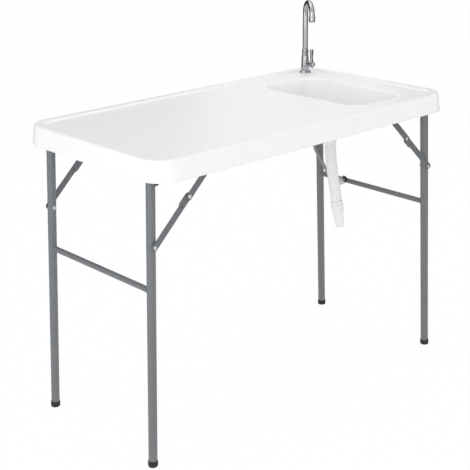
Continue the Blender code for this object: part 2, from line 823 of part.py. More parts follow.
def build_brace(side, end):
    """One locking brace: two links, the leg's rivet, the knuckle's rivet and the bracket above."""
    name = name_of(side, end)
    upper_pivot, upper_length = brace_geometry(side)
    # The four braces are two like pairs, each turned half round the table's middle.
    head_sign = 1 if side * end > 0 else -1
    inner_y = link_plane(side, end, 0)
    outer_y = link_plane(side, end, 1)
    rivet = leg_point(side, end, BRACE_RIVET_Z)
    rise = Matrix.Rotation(BRACE_SLOPE, 4, "Z")
    fall = Matrix.Rotation(BRACE_SLOPE + math.pi, 4, "Z")
    pin_hole = RIVET_R + TURNING_GAP
    plate(
        f"{name}_lower_link",
        link_outline(LOWER_LINK, LINK_HEAD_EXTRA, head_sign),
        [
            (0.0, 0.0, pin_hole),
            (LOWER_LINK, 0.0, pin_hole),
            (LOWER_LINK - STOP_HOLE_FROM_KNUCKLE, 0.0, STOP_HOLE_R),
        ],
        LINK_THICKNESS,
        in_side_plane(side, (rivet.x, inner_y, rivet.z)) @ rise,
        "link_steel",
    )
    plate(
        f"{name}_upper_link",
        link_outline(upper_length, 0.0, 1),
        [(0.0, 0.0, pin_hole), (upper_length, 0.0, pin_hole)],
        LINK_THICKNESS,
        in_side_plane(side, (upper_pivot.x, outer_y, upper_pivot.z)) @ fall,
        "link_steel",
    )
    build_leg_rivet(name, side, end, rivet, inner_y)
    inboard_up = Vector((-side * math.cos(BRACE_SLOPE), 0, math.sin(BRACE_SLOPE)))
    knuckle = rivet + LOWER_LINK * inboard_up
    build_knuckle_rivet(name, end, knuckle, outer_y)
    build_upper_bracket(name, end, upper_pivot, outer_y)


def build_leg_rivet(name, side, end, rivet, link_y):
    """The rivet through a leg: its inner head, shank, shoulder, and outer head on the inner link."""
    link_inner = abs(link_y - rivet.y) - LINK_THICKNESS / 2
    link_outer = link_inner + LINK_THICKNESS
    head_low = link_outer + SEAT_GAP
    tail_low = -LEG_R - SEAT_GAP
    dome = 0.6 * RIVET_HEAD_R
    profile = [
        (0.0, head_low + RIVET_HEAD_H),
        (dome, head_low + 0.8 * RIVET_HEAD_H),
        (RIVET_HEAD_R, head_low + 0.1 * RIVET_HEAD_H),
        (RIVET_HEAD_R, head_low),
        (RIVET_R, head_low),
        (RIVET_R, link_inner - SEAT_GAP),
        (RIVET_HEAD_R, link_inner - SEAT_GAP),
        (RIVET_HEAD_R, LEG_R + SEAT_GAP),
        (RIVET_R, LEG_R + SEAT_GAP),
        (RIVET_R, tail_low),
        (RIVET_HEAD_R, tail_low),
        (RIVET_HEAD_R, tail_low - 0.1 * RIVET_HEAD_H),
        (dome, tail_low - 0.8 * RIVET_HEAD_H),
        (0.0, tail_low - RIVET_HEAD_H),
    ]
    outward = rivet + Vector((0, end, 0))
    turned(f"{name}_leg_rivet", profile, along(rivet, outward), "zinc", SMALL_ROUND)


def build_knuckle_rivet(name, end, knuckle, link_y):
    """The rivet in the upper link's end; its shank stops at that link's inner face."""
    half = LINK_THICKNESS / 2
    head_low = half + SEAT_GAP
    dome = 0.6 * RIVET_HEAD_R
    profile = [
        (0.0, head_low + RIVET_HEAD_H),
        (dome, head_low + 0.8 * RIVET_HEAD_H),
        (RIVET_HEAD_R, head_low + 0.1 * RIVET_HEAD_H),
        (RIVET_HEAD_R, head_low),
        (RIVET_R, head_low),
        (RIVET_R, -half),
        (0.0, -half),
    ]
    place = Vector((knuckle.x, link_y, knuckle.z))
    turned(f"{name}_knuckle_rivet", profile, along(place, place + Vector((0, end, 0))), "zinc", SMALL_ROUND)


def build_upper_bracket(name, end, pivot, link_y):
    """An angle bracket under the deck, with the pin that the upper link turns on."""
    ear_inner = link_y + end * (LINK_THICKNESS / 2 + SEAT_GAP)
    ear_outer = ear_inner + end * BRACKET_PLATE
    flange_outer = ear_inner + end * BRACKET_FLANGE_Y
    half = BRACKET_FLANGE_X / 2
    ear_r = LINK_WIDTH / 2
    bracket = box(
        f"{name}_brace_bracket",
        (pivot.x - half, min(ear_inner, flange_outer), SEAT_Z - BRACKET_PLATE),
        (pivot.x + half, max(ear_inner, flange_outer), SEAT_Z),
        "link_steel",
    )
    # The ear stays wholly under the flange where the pivot lies close to the deck.
    ear_top = SEAT_Z - BRACKET_PLATE / 2
    ear = box(
        f"{name}_ear",
        (pivot.x - 1.2 * ear_r, min(ear_inner, ear_outer), pivot.z - 0.8 * ear_r),
        (pivot.x + 1.2 * ear_r, max(ear_inner, ear_outer), ear_top),
    )
    boolean(bracket, ear, "UNION")
    pin = rod(
        f"{name}_bracket_pin",
        (pivot.x, link_y - end * LINK_THICKNESS / 2, pivot.z),
        (pivot.x, ear_outer - end * BRACKET_PLATE / 2, pivot.z),
        RIVET_R,
        sides=SMALL_ROUND,
    )
    boolean(bracket, pin, "UNION")


def build_pivot_bracket(side, end):
    """The bracket under the deck that a pivot bar's end turns in."""
    name = name_of(side, end)
    pivot = leg_point(side, end, pivot_z(side))
    near = LEG_R + 0.0015
    middle_y = pivot.y + end * (near + PIVOT_BRACKET_Y / 2)
    hole = PIVOT_BAR_R + TURNING_GAP
    body = hole + PIVOT_BRACKET_WALL
    top = SEAT_Z - pivot.z
    flange = top - PIVOT_BRACKET_WALL
    half = PIVOT_BRACKET_FLANGE_X / 2
    outline = [(half, flange), (half, top), (-half, top), (-half, flange)]
    if flange > 0:
        outline.append((-body, flange))
    outline += [
        (body * math.cos(math.pi + math.pi * i / 8), body * math.sin(math.pi + math.pi * i / 8))
        for i in range(9)
    ]
    if flange > 0:
        outline.append((body, flange))
    plate(
        f"{name}_pivot_bracket",
        outline,
        [(0.0, 0.0, hole)],
        PIVOT_BRACKET_Y,
        in_side_plane(side, (pivot.x, middle_y, pivot.z)),
        "link_steel",
        ROUND,
    )


def hex_nut(name, start, end, radius, bore, material, wide_bore=0.0, wide_depth=0.0):
    """A six-sided nut with a bore, and a wider bore down from its end where asked."""
    nut = rod(name, start, end, radius, material, sides=6)
    boolean(nut, rod(name + "_bore", start, end, bore, overrun=CUT_PAST))
    if wide_bore:
        direction = (Vector(end) - Vector(start)).normalized()
        low = Vector(end) - direction * wide_depth
        boolean(nut, rod(name + "_wide_bore", low, Vector(end) + direction * CUT_PAST, wide_bore))
    return nut


def build_tap():
    base = Vector((TAP_X, TAP_Y, FIELD_Z + SEAT_GAP))
    bore = SHANK_R + TURNING_GAP
    turned(
        "tap_flange",
        [
            (TAP_BODY_R + 0.002, TAP_FLANGE_H),
            (0.8 * TAP_FLANGE_R, 0.6 * TAP_FLANGE_H),
            (TAP_FLANGE_R, 0.3 * TAP_FLANGE_H),
            (TAP_FLANGE_R, 0.0),
            (bore, 0.0),
            (bore, TAP_FLANGE_H),
        ],
        Matrix.Translation(base),
        "chrome",
        closed=True,
    )
    body_z = base.z + TAP_FLANGE_H + SEAT_GAP
    body_at = Vector((TAP_X, TAP_Y, body_z))
    body = turned(
        "tap_body",
        [
            (0.0, TAP_BODY_H),
            (TAP_BODY_TOP_R, TAP_BODY_H),
            (TAP_BODY_TOP_R + 0.0006, 0.75 * TAP_BODY_H),
            (TAP_BODY_R, 0.35 * TAP_BODY_H),
            (TAP_BODY_R, 0.0),
            (0.0, 0.0),
        ],
        Matrix.Translation(body_at),
        "chrome",
    )
    valve_z = FIELD_Z + VALVE_H
    forward = Vector((0, -1, 0))
    axis_at = Vector((TAP_X, TAP_Y, valve_z))
    boolean(body, rod("valve_housing", axis_at, axis_at + forward * VALVE_REACH, VALVE_R), "UNION")
    # The shank screws up into the body from below.
    socket_depth = 0.010
    shank_top = body_z + socket_depth - SEAT_GAP
    socket_low = body_at - Vector((0, 0, CUT_PAST))
    socket_top = body_at + Vector((0, 0, socket_depth))
    boolean(body, rod("shank_socket", socket_low, socket_top, bore))
    shank_bottom = UNDERSIDE_Z - SHANK_BELOW_DECK
    ring(
        "tap_shank",
        (TAP_X, TAP_Y, shank_bottom),
        (TAP_X, TAP_Y, shank_top),
        SHANK_R,
        SHANK_BORE_R,
        "zinc",
    )
    hex_nut(
        "tap_locknut",
        (TAP_X, TAP_Y, SEAT_Z - LOCKNUT_H),
        (TAP_X, TAP_Y, SEAT_Z),
        LOCKNUT_R,
        bore,
        "zinc",
    )
    build_lever(axis_at, forward)
    build_spout(body_z + TAP_BODY_H + SEAT_GAP)
    return shank_bottom


def build_lever(axis_at, forward):
    """The lever on the valve's end, with the cap over its screw in one with it."""
    hub_start = axis_at + forward * (VALVE_REACH + SEAT_GAP)
    hub_end = hub_start + forward * LEVER_HUB_LENGTH
    lever = rod("tap_lever", hub_start, hub_end, LEVER_HUB_R, "chrome")
    middle = (hub_start + hub_end) / 2
    half = LEVER_HUB_LENGTH / 2 - 0.0015
    waist, grip = 0.0034, 0.0058
    grip_top = LEVER_LENGTH - grip
    outline = [(-0.006, 0.0), (0.006, 0.0), (waist, 0.45 * LEVER_LENGTH), (grip, grip_top - 0.006)]
    outline += [
        (grip * math.cos(math.pi * i / 8), grip_top + grip * math.sin(math.pi * i / 8)) for i in range(9)
    ]
    outline += [(-grip, grip_top - 0.006), (-waist, 0.45 * LEVER_LENGTH)]
    paddle = plate("lever_paddle", outline, [], 2 * half, in_side_plane(1, middle), None)
    boolean(lever, paddle, "UNION")
    cap_low = hub_end - forward * LEVER_CAP_SINK
    cap_high = LEVER_CAP_SINK + LEVER_CAP_LENGTH
    cap = turned(
        "lever_cap",
        [
            (0.0, cap_high),
            (0.7 * LEVER_CAP_R, cap_high),
            (LEVER_CAP_R, cap_high - 0.5 * LEVER_CAP_LENGTH),
            (LEVER_CAP_R, 0.0),
            (0.0, 0.0),
        ],
        along(cap_low, hub_end),
    )
    boolean(lever, cap, "UNION")


def spout_path(base_z, overrun=0.0):
    """The spout's middle line: up, over in a half circle, and down into the aerator."""
    heading = Vector((math.cos(SPOUT_HEADING), math.sin(SPOUT_HEADING), 0))
    bend_z = FIELD_Z + SPOUT_OUTLET_H + AERATOR_H
    foot = Vector((TAP_X, TAP_Y, 0))
    points = [foot + Vector((0, 0, base_z - overrun))]
    steps = 16
    for i in range(steps + 1):
        angle = math.pi * i / steps
        out = SPOUT_BEND_R * (1 - math.cos(angle))
        points.append(foot + heading * out + Vector((0, 0, bend_z + SPOUT_BEND_R * math.sin(angle))))
    points.append(points[-1] - Vector((0, 0, AERATOR_H / 2 + overrun)))
    return points


def build_spout(base_z):
    """The bent pipe with the collar round its foot, and the aerator on its outlet."""
    spout = pipe("tap_spout", spout_path(base_z), SPOUT_R, resolution=3, material="chrome")
    collar_low = (TAP_X, TAP_Y, base_z + SEAT_GAP)
    collar_high = (TAP_X, TAP_Y, base_z + TAP_COLLAR_H)
    boolean(spout, rod("spout_collar", collar_low, collar_high, TAP_COLLAR_R), "UNION")
    bore = pipe("spout_bore", spout_path(base_z, CUT_PAST), SPOUT_R - SPOUT_WALL, resolution=2)
    boolean(spout, bore)
    outlet = spout_path(base_z)[-2] - Vector((0, 0, AERATOR_H))
    socket = AERATOR_H / 2 + SEAT_GAP
    turned(
        "tap_aerator",
        [
            (AERATOR_R - 0.001, AERATOR_H),
            (AERATOR_R, AERATOR_H - 0.002),
            (AERATOR_R, 0.0),
            (AERATOR_R - 0.002, 0.0),
            (AERATOR_R - 0.002, 0.004),
            (0.0045, 0.004),
            (0.0045, AERATOR_H - socket),
            (SPOUT_R + TURNING_GAP, AERATOR_H - socket),
            (SPOUT_R + TURNING_GAP, AERATOR_H),
        ],
        Matrix.Translation(outlet),
        "chrome",
        closed=True,
    )


def build_supply_hose(shank_bottom):
    nut_top = shank_bottom + SUPPLY_NUT_H / 2
    nut_bottom = nut_top - SUPPLY_NUT_H
    hex_nut(
        "supply_top_nut",
        (TAP_X, TAP_Y, nut_bottom),
        (TAP_X, TAP_Y, nut_top),
        SUPPLY_NUT_R,
        SUPPLY_R + TURNING_GAP,
        "zinc",
        SHANK_R + TURNING_GAP,
        SUPPLY_NUT_H / 2 + 0.001,
    )
    points = smooth_route(SUPPLY_ROUTE, 2.2 * SUPPLY_R)
    pipe("supply_hose", points, SUPPLY_R, resolution=2, material="braid")
    tip = points[-1]
    out = (points[-1] - points[-2]).normalized()
    nut_start = tip - out * 0.4 * END_NUT_LENGTH
    nut_end = nut_start + out * END_NUT_LENGTH
    hex_nut(
        "supply_end_nut",
        nut_start,
        nut_end,
        END_NUT_R,
        SUPPLY_R + TURNING_GAP,
        "zinc",
        END_WASHER_R - 0.003,
        0.5 * END_NUT_LENGTH,
    )
    washer_start = nut_end + out * SEAT_GAP
    ring(
        "supply_end_washer",
        washer_start,
        washer_start + out * END_WASHER_LENGTH,
        END_WASHER_R,
        END_WASHER_R - 0.005,
        "rubber",
    )


def build_drain():
    floor = BASIN_FLOOR_Z
    under = floor - BASIN_WALL
    middle = Matrix.Translation((BASIN_X, BASIN_Y, 0))
    flange_low = floor + SEAT_GAP
    turned(
        "drain_flange",
        [
            (DRAIN_FLANGE_R - 0.006, flange_low + 0.003),
            (DRAIN_FLANGE_R, flange_low + 0.001),
            (DRAIN_FLANGE_R, flange_low),
            (DRAIN_BODY_R, flange_low),
            (DRAIN_BODY_R, DRAIN_TAIL_Z),
            (DRAIN_BORE_R, DRAIN_TAIL_Z),
            (DRAIN_BORE_R, flange_low + 0.003),
        ],
        middle,
        "white_plastic",
        closed=True,
    )
    strainer_top = flange_low + 0.002
    strainer = rod(
        "drain_strainer",
        (BASIN_X, BASIN_Y, strainer_top - 0.002),
        (BASIN_X, BASIN_Y, strainer_top),
        STRAINER_R,
        "chrome",
    )

    def make(piece):
        bmesh.ops.create_cone(
            piece,
            cap_ends=True,
            segments=8,
            radius1=STRAINER_HOLE_R,
            radius2=STRAINER_HOLE_R,
            depth=0.01,
        )

    places = [Matrix.Translation((BASIN_X, BASIN_Y, strainer_top - 0.001))]
    for i in range(6):
        angle = 2 * math.pi * i / 6
        offset = Vector((0.0075 * math.cos(angle), 0.0075 * math.sin(angle), 0))
        places.append(Matrix.Translation(Vector((BASIN_X, BASIN_Y, strainer_top - 0.001)) + offset))
    boolean(strainer, joined_copies("strainer_cutter", places, make))
    nut_top = under - SEAT_GAP
    hex_nut(
        "drain_locknut",
        (BASIN_X, BASIN_Y, nut_top - DRAIN_NUT_H),
        (BASIN_X, BASIN_Y, nut_top),
        DRAIN_NUT_R,
        DRAIN_BODY_R + TURNING_GAP,
        "white_plastic",
    )


def build_drain_hose():
    """The collar nut, the ribbed hose, the coupling with its cuff, and the straight tail pipe."""
    points = smooth_route(HOSE_ROUTE, HOSE_RIB_PITCH / 2)
    total = sum((b - a).length for a, b in zip(points, points[1:]))
    step = total / (len(points) - 1)
    count = len(points)
    plain = [not HOSE_PLAIN_TOP < i * step < total - HOSE_PLAIN_END for i in range(count)]
    # A smooth stretch needs a ring only now and then, and one at each of its ends.
    kept = [i for i in range(count) if i in (0, count - 1) or i % 4 == 0 or not all(plain[i - 1 : i + 2])]
    radii = [HOSE_VALLEY if plain[i] or i % 2 else 1.0 for i in kept]
    hose = pipe("drain_hose", [points[i] for i in kept], HOSE_R, radii, 2, "white_plastic")
    first, last = points[0], points[-1]
    start_out = (points[0] - points[4]).normalized()
    end_out = (points[-1] - points[-5]).normalized()
    core = [first + start_out * CUT_PAST, *points[::8], last, last + end_out * CUT_PAST]
    boolean(hose, pipe("hose_bore", core, HOSE_BORE_R, resolution=2))
    valley = HOSE_VALLEY * HOSE_R
    turned(
        "hose_collar",
        [
            (COLLAR_R - 0.001, COLLAR_TOP_Z),
            (COLLAR_R, COLLAR_TOP_Z - 0.001),
            (COLLAR_R, COLLAR_BOTTOM_Z),
            (valley + 0.001, COLLAR_BOTTOM_Z),
            (valley + 0.001, DRAIN_TAIL_Z),
            (DRAIN_BODY_R + TURNING_GAP, DRAIN_TAIL_Z),
            (DRAIN_BODY_R + TURNING_GAP, COLLAR_TOP_Z),
        ],
        Matrix.Translation((BASIN_X, BASIN_Y, 0)),
        "white_plastic",
        closed=True,
    )
    coupling_start = last - end_out * HOSE_IN_COUPLING
    frame = along(coupling_start, last)
    step_in = COUPLING_LENGTH - TAIL_IN_COUPLING
    turned(
        "hose_coupling",
        [
            (TAIL_R + TURNING_GAP, COUPLING_LENGTH),
            (COUPLING_R - 0.001, COUPLING_LENGTH),
            (COUPLING_R - 0.001, 0.012),
            (COUPLING_R - 0.0022, 0.011),
            (COUPLING_R - 0.0022, 0.008),
            (COUPLING_R, 0.007),
            (COUPLING_R, 0.0),
            (CUFF_R, 0.0),
            (CUFF_R, -CUFF_LENGTH),
            (valley + 0.0006, -CUFF_LENGTH),
            (valley + 0.0006, HOSE_IN_COUPLING + SEAT_GAP),
            (TAIL_R - TAIL_WALL, HOSE_IN_COUPLING + SEAT_GAP),
            (TAIL_R - TAIL_WALL, step_in - SEAT_GAP),
            (TAIL_R + TURNING_GAP, step_in - SEAT_GAP),
        ],
        frame,
        "white_plastic",
        closed=True,
    )
    tail_start = coupling_start + end_out * step_in
    shoulder = TAIL_IN_COUPLING + SEAT_GAP
    turned(
        "hose_tail",
        [
            (TAIL_END_R, TAIL_LENGTH),
            (TAIL_TOP_R, shoulder),
            (TAIL_R, shoulder),
            (TAIL_R, 0.0),
            (TAIL_END_R - TAIL_WALL, 0.0),
            (TAIL_END_R - TAIL_WALL, TAIL_LENGTH),
        ],
        along(tail_start, tail_start + end_out),
        "white_plastic",
        closed=True,
    )


def hang(name, place, pieces, carrier=None):
    """Puts an empty on a joint's axis and parents the joint's pieces to it, as they lie."""
    empty = bpy.data.objects.new(name, None)
    PART.objects.link(empty)
    empty.empty_display_size = 0.03
    empty.matrix_world = Matrix.Translation(place)
    for item in [PART.objects[piece] for piece in pieces]:
        item.parent = empty
        item.matrix_parent_inverse = Matrix.Translation(-Vector(place))
    if carrier:
        empty.parent = carrier
        empty.matrix_parent_inverse = Matrix.Translation(-carrier.location)
    return empty


def hang_frame(side):
    """Hangs one leg frame and its braces on their joints."""
    frame = "left" if side < 0 else "right"
    pivot = leg_point(side, 1, pivot_z(side)) * Vector((1, 0, 1))
    pieces = [f"{frame}_pivot_bar", f"{frame}_crossbar"]
    for end in (-1, 1):
        pieces += [f"{name_of(side, end)}_{piece}" for piece in ("leg", "foot_cap", "leg_rivet")]
    carrier = hang(f"{frame}_fold_axis", pivot, pieces)
    upper_pivot, _ = brace_geometry(side)
    for end in (-1, 1):
        name = name_of(side, end)
        rivet = leg_point(side, end, BRACE_RIVET_Z)
        hang(f"{name}_rivet_axis", rivet, [f"{name}_lower_link"], carrier)
        place = upper_pivot + Vector((0, link_plane(side, end, 1), 0))
        hang(f"{name}_pin_axis", place, [f"{name}_upper_link", f"{name}_knuckle_rivet"])


def shade(item):
    """Smooth on round stretches, sharp at edges over 40 degrees."""
    if item.type == "MESH" and not item.modifiers:
        item.data.shade_smooth()
        item.data.set_sharp_from_angle(angle=math.radians(40))


clear_scene()
PART = make_collection("sink_table")
CUTTERS = make_collection("cutters")
build_top()
build_apron()
build_basin()
for frame_side in (-1, 1):
    build_frame(frame_side)
    for table_end in (-1, 1):
        build_brace(frame_side, table_end)
        build_pivot_bracket(frame_side, table_end)
build_supply_hose(build_tap())
build_drain()
build_drain_hose()
for frame_side in (-1, 1):
    hang_frame(frame_side)
hang("spout_axis", (TAP_X, TAP_Y, FIELD_Z), ["tap_spout", "tap_aerator"])
hang("lever_axis", (TAP_X, TAP_Y, FIELD_Z + VALVE_H), ["tap_lever"])
for built in PART.objects:
    shade(built)
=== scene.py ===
"""Looks of the folding sink table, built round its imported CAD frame.

Metres, +Z up, with the origin on the floor under the middle of the top. +X points to the basin end and
-Y to the side that a person works at.
"""

from __future__ import annotations

import logging
import math
from dataclasses import dataclass, field
from enum import Enum
from typing import Any, Callable, Iterable, Sequence

import bmesh
import bpy
import numpy as np
from mathutils import Matrix, Vector


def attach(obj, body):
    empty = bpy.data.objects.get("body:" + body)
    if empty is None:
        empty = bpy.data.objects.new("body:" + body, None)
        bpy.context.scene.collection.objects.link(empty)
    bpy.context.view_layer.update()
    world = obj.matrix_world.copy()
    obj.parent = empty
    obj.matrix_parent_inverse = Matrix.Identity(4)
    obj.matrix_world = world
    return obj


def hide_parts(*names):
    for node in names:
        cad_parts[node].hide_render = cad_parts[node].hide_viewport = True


LOG = logging.getLogger("sink_table")
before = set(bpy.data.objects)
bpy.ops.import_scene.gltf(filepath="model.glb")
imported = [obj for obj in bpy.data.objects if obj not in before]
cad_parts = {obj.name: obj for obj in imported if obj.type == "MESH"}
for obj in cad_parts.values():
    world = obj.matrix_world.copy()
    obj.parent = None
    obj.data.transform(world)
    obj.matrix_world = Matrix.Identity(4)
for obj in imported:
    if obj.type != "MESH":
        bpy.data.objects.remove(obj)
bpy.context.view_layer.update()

Array = np.ndarray
Point = tuple[float, float, float]
Corner = tuple[float, float]
Mesh = bpy.types.Mesh
Socket = bpy.types.NodeSocket
Swell = Callable[[Array, Array, Array], Array]

SEAT_GAP = 0.0003
TURNING_GAP = 0.0005
CHAMFER = 0.0005
HAIR = 0.0001
SMOOTH_ANGLE = math.radians(38)
MERGE = 2e-6
WHITE = (1.0, 1.0, 1.0, 1.0)
UP = Vector((0, 0, 1))


class Place(Enum):
    """A named place on the table, by the sign of an axis."""

    @property
    def label(self) -> str:
        """The word used in the names of nodes."""
        return self.name.lower()


class Side(Place):
    """The two ends of the table, by the sign of X."""

    LEFT = -1
    RIGHT = 1


class End(Place):
    """The two long sides of the table, by the sign of Y."""

    FRONT = -1
    REAR = 1


@dataclass(frozen=True)
class Layout:
    """Where the top, the legs, the braces and the fixtures stand. The sizes repeat the CAD model's."""

    rim_z: float = 0.848
    field_z: float = 0.844
    underside_z: float = 0.8305
    leg_x: float = 0.514
    leg_y: float = 0.2172
    lean_x: float = 0.0511
    lean_y: float = 0.0157
    frame_shift: float = 0.0135
    left_pivot_z: float = 0.782
    right_pivot_z: float = 0.808
    brace_rivet_z: float = 0.612
    brace_slope: float = math.radians(43.8)
    lower_link: float = 0.158
    leg_r: float = 0.012
    bar_r: float = 0.008
    link_thickness: float = 0.0025
    link_standoff: float = 0.003
    basin_floor_z: float = 0.768
    basin_wall: float = 0.003
    drain: Corner = (0.333, -0.0175)
    tap: Corner = (0.478, 0.232)
    shank_r: float = 0.0102
    shank_below: float = 0.044

    @property
    def seat_z(self) -> float:
        """Height of the faces that are screwed up against the deck."""
        return self.underside_z - SEAT_GAP

    def pivot_z(self, side: Side) -> float:
        """Height of the bar that one leg frame turns on."""
        return self.left_pivot_z if side is Side.LEFT else self.right_pivot_z

    def leg_point(self, side: Side, end: End, z: float) -> Vector:
        """Finds a point on a leg's axis.

        Args:
            side: Which leg frame.
            end: Which of its two legs.
            z: Height above the floor.

        Returns:
            The point. Each leg leans outward evenly with its distance below the rim.
        """
        below = self.rim_z - z
        y = end.value * (self.leg_y + self.lean_y * below) - side.value * self.frame_shift
        return Vector((side.value * (self.leg_x + self.lean_x * below), y, z))

    def link_y(self, side: Side, end: End, order: int) -> float:
        """The Y of a brace link's middle plane. Order is 0 by the leg and 1 outside that."""
        inner = self.leg_r + self.link_standoff + order * (self.link_thickness + SEAT_GAP)
        rivet = self.leg_point(side, end, self.brace_rivet_z)
        return rivet.y + end.value * (inner + self.link_thickness / 2)


LAYOUT = Layout()


# Meshes ----------------


def linked(name: str, data: Any) -> bpy.types.Object:
    """A new object in the scene."""
    item = bpy.data.objects.new(name, data)
    bpy.context.scene.collection.objects.link(item)
    return item


def over(plan: Corner, z: float = 0.0) -> Vector:
    """The point over a place on the plan, at a height."""
    return Vector((*plan, z))


def pairs(x: Array, y: Array) -> list[Corner]:
    """Two arrays as a list of points."""
    return list(zip(x.tolist(), y.tolist()))


def arc(half_x: float, half_y: float, start: float, end: float, count: int) -> list[Corner]:
    """Points round part of an ellipse: (a cos t, b sin t)."""
    t = np.linspace(start, end, count)
    return pairs(half_x * np.cos(t), half_y * np.sin(t))


def quarter(count: int) -> list[Corner]:
    """The sine and cosine at even steps of a quarter turn."""
    return [(math.sin(t), math.cos(t)) for t in np.linspace(0, math.pi / 2, count)]


def grid_faces(
    rows: int, columns: int, wrap_rows: bool = False, wrap_columns: bool = False
) -> list[list[int]]:
    """Numbers the quads of a grid of points.

    Args:
        rows: Points along the first parameter.
        columns: Points along the second parameter.
        wrap_rows: Whether the last row joins the first.
        wrap_columns: Whether the last column joins the first.

    Returns:
        Four point numbers for each quad.
    """
    spans = (np.arange(count - (not wrap)) for count, wrap in ((rows, wrap_rows), (columns, wrap_columns)))
    r, c = np.meshgrid(*spans, indexing="ij")
    up, across = (r + 1) % rows, (c + 1) % columns
    corners = [r * columns + c, r * columns + across, up * columns + across, up * columns + c]
    return np.stack(corners, axis=-1).reshape(-1, 4).tolist()


def close_and_face_out(mesh: Mesh) -> Mesh:
    """Merges doubles, drops slivers, turns every face outward and smooths all but sharp edges.

    Args:
        mesh: The mesh, changed in place.

    Returns:
        The same mesh.
    """
    shape = bmesh.new()
    shape.from_mesh(mesh)
    bmesh.ops.remove_doubles(shape, verts=shape.verts, dist=MERGE)
    bmesh.ops.dissolve_degenerate(shape, edges=shape.edges, dist=MERGE)
    bmesh.ops.recalc_face_normals(shape, faces=shape.faces)
    if shape.calc_volume(signed=True) < 0:
        bmesh.ops.reverse_faces(shape, faces=shape.faces)
    shape.to_mesh(mesh)
    shape.free()
    mesh.shade_smooth()
    mesh.set_sharp_from_angle(angle=SMOOTH_ANGLE)
    return mesh


def surface(
    name: str,
    points: Array,
    wrap_rows: bool = False,
    wrap_columns: bool = True,
    caps: bool = False,
    mapped: Array | None = None,
) -> Mesh:
    """Makes a mesh from a grid of points, which is a shape as a function of two parameters.

    Args:
        name: The mesh's name.
        points: Rows by columns by three.
        wrap_rows: Whether the last row joins the first.
        wrap_columns: Whether the last column joins the first.
        caps: Whether the first and last rows are closed by one face each.
        mapped: Rows by columns by two, for a UV map.

    Returns:
        A closed mesh with its faces outward.
    """
    rows, columns = points.shape[:2]
    faces = grid_faces(rows, columns, wrap_rows, wrap_columns)
    if caps:
        faces += [list(range(columns)), list(range((rows - 1) * columns, rows * columns))]
    mesh = bpy.data.meshes.new(name)
    mesh.from_pydata(points.reshape(-1, 3), [], faces)
    if mapped is not None:
        corner = np.empty(len(mesh.loops), dtype=np.int32)
        mesh.loops.foreach_get("vertex_index", corner)
        layer = mesh.uv_layers.new(name="along")
        layer.data.foreach_set("uv", mapped.reshape(-1, 2)[corner].astype(np.float32).ravel())
    return close_and_face_out(mesh)


def moved(points: Array, matrix: Matrix) -> Array:
    """Applies a matrix to an array of points."""
    m = np.array(matrix)
    return points @ m[:3, :3].T + m[:3, 3]


def towards(start: Sequence[float], end: Sequence[float]) -> Matrix:
    """A matrix at start whose Z axis points to end."""
    turn = (Vector(end) - Vector(start)).to_track_quat("Z", "Y").to_matrix().to_4x4()
    return Matrix.Translation(Vector(start)) @ turn


def in_side_plane(side: Side, place: Sequence[float]) -> Matrix:
    """A matrix at place whose X points inboard, Y points up and Z runs across the table."""
    turn = Matrix(((-side.value, 0, 0), UP, (0, side.value, 0))).transposed().to_4x4()
    return Matrix.Translation(Vector(place)) @ turn


def through(place: Matrix, half: float, x: float = 0.0) -> list[Vector]:
    """The ends of a line across a side plane, half each way, at x along the piece."""
    return [place @ Vector((x, 0, z)) for z in (-half, half)]


def turned_points(
    profile: Sequence[Corner], matrix: Matrix, sides: int, swell: Swell | None = None
) -> Array:
    """Turns a profile round an axis: x = r cos t, y = r sin t, z = height.

    Args:
        profile: Radius and height of each point.
        matrix: Places the axis, which is local Z.
        sides: Points round the axis.
        swell: Gives the radius from the radius, the angle and the height, for flats and grips.

    Returns:
        Rows by sides by three.
    """
    radius, height = np.array(profile, dtype=float).T
    angle = np.linspace(0, 2 * math.pi, sides, endpoint=False)
    r, t, z = np.broadcast_arrays(radius[:, None], angle[None, :], height[:, None])
    if swell is not None:
        r = swell(r, t, z)
    return moved(np.stack([r * np.cos(t), r * np.sin(t), z], axis=-1), matrix)


def turned(
    name: str,
    profile: Sequence[Corner],
    matrix: Matrix,
    sides: int = 48,
    ring: bool = False,
    swell: Swell | None = None,
) -> Mesh:
    """The mesh of a turned profile, which closes on itself where ring is set."""
    return surface(name, turned_points(profile, matrix, sides, swell), wrap_rows=ring)


def eased(profile: Sequence[Corner], radius: float) -> list[Corner]:
    """Rounds the corners of a closed profile, each with a quadratic curve between two points beside it.

    Args:
        profile: The corners.
        radius: How far from each corner its rounding starts, at most a third of the shorter side.

    Returns:
        The rounded profile, with three pieces in each rounding.
    """
    corners = np.array(profile, dtype=float)
    before, after = np.roll(corners, 1, axis=0), np.roll(corners, -1, axis=0)
    reach_in = np.linalg.norm(before - corners, axis=1, keepdims=True)
    reach_out = np.linalg.norm(after - corners, axis=1, keepdims=True)
    ease = np.minimum(radius, np.minimum(reach_in, reach_out) / 3)
    first = corners + (before - corners) / reach_in * ease
    last = corners + (after - corners) / reach_out * ease
    s = np.linspace(0, 1, 4)[None, :, None]
    curve = (1 - s) ** 2 * first[:, None] + 2 * s * (1 - s) * corners[:, None] + s**2 * last[:, None]
    return [tuple(p) for p in curve.reshape(-1, 2)]


def tube(
    name: str,
    start: Sequence[float],
    end: Sequence[float],
    outer: float,
    inner: float,
    edge: float = 0.0003,
    sides: int = 48,
) -> Mesh:
    """A straight round tube with eased ends: a rectangle turned round the line from start to end."""
    length = (Vector(end) - Vector(start)).length
    profile = eased([(outer, length), (outer, 0.0), (inner, 0.0), (inner, length)], edge)
    return turned(name, profile, towards(start, end), sides, ring=True)


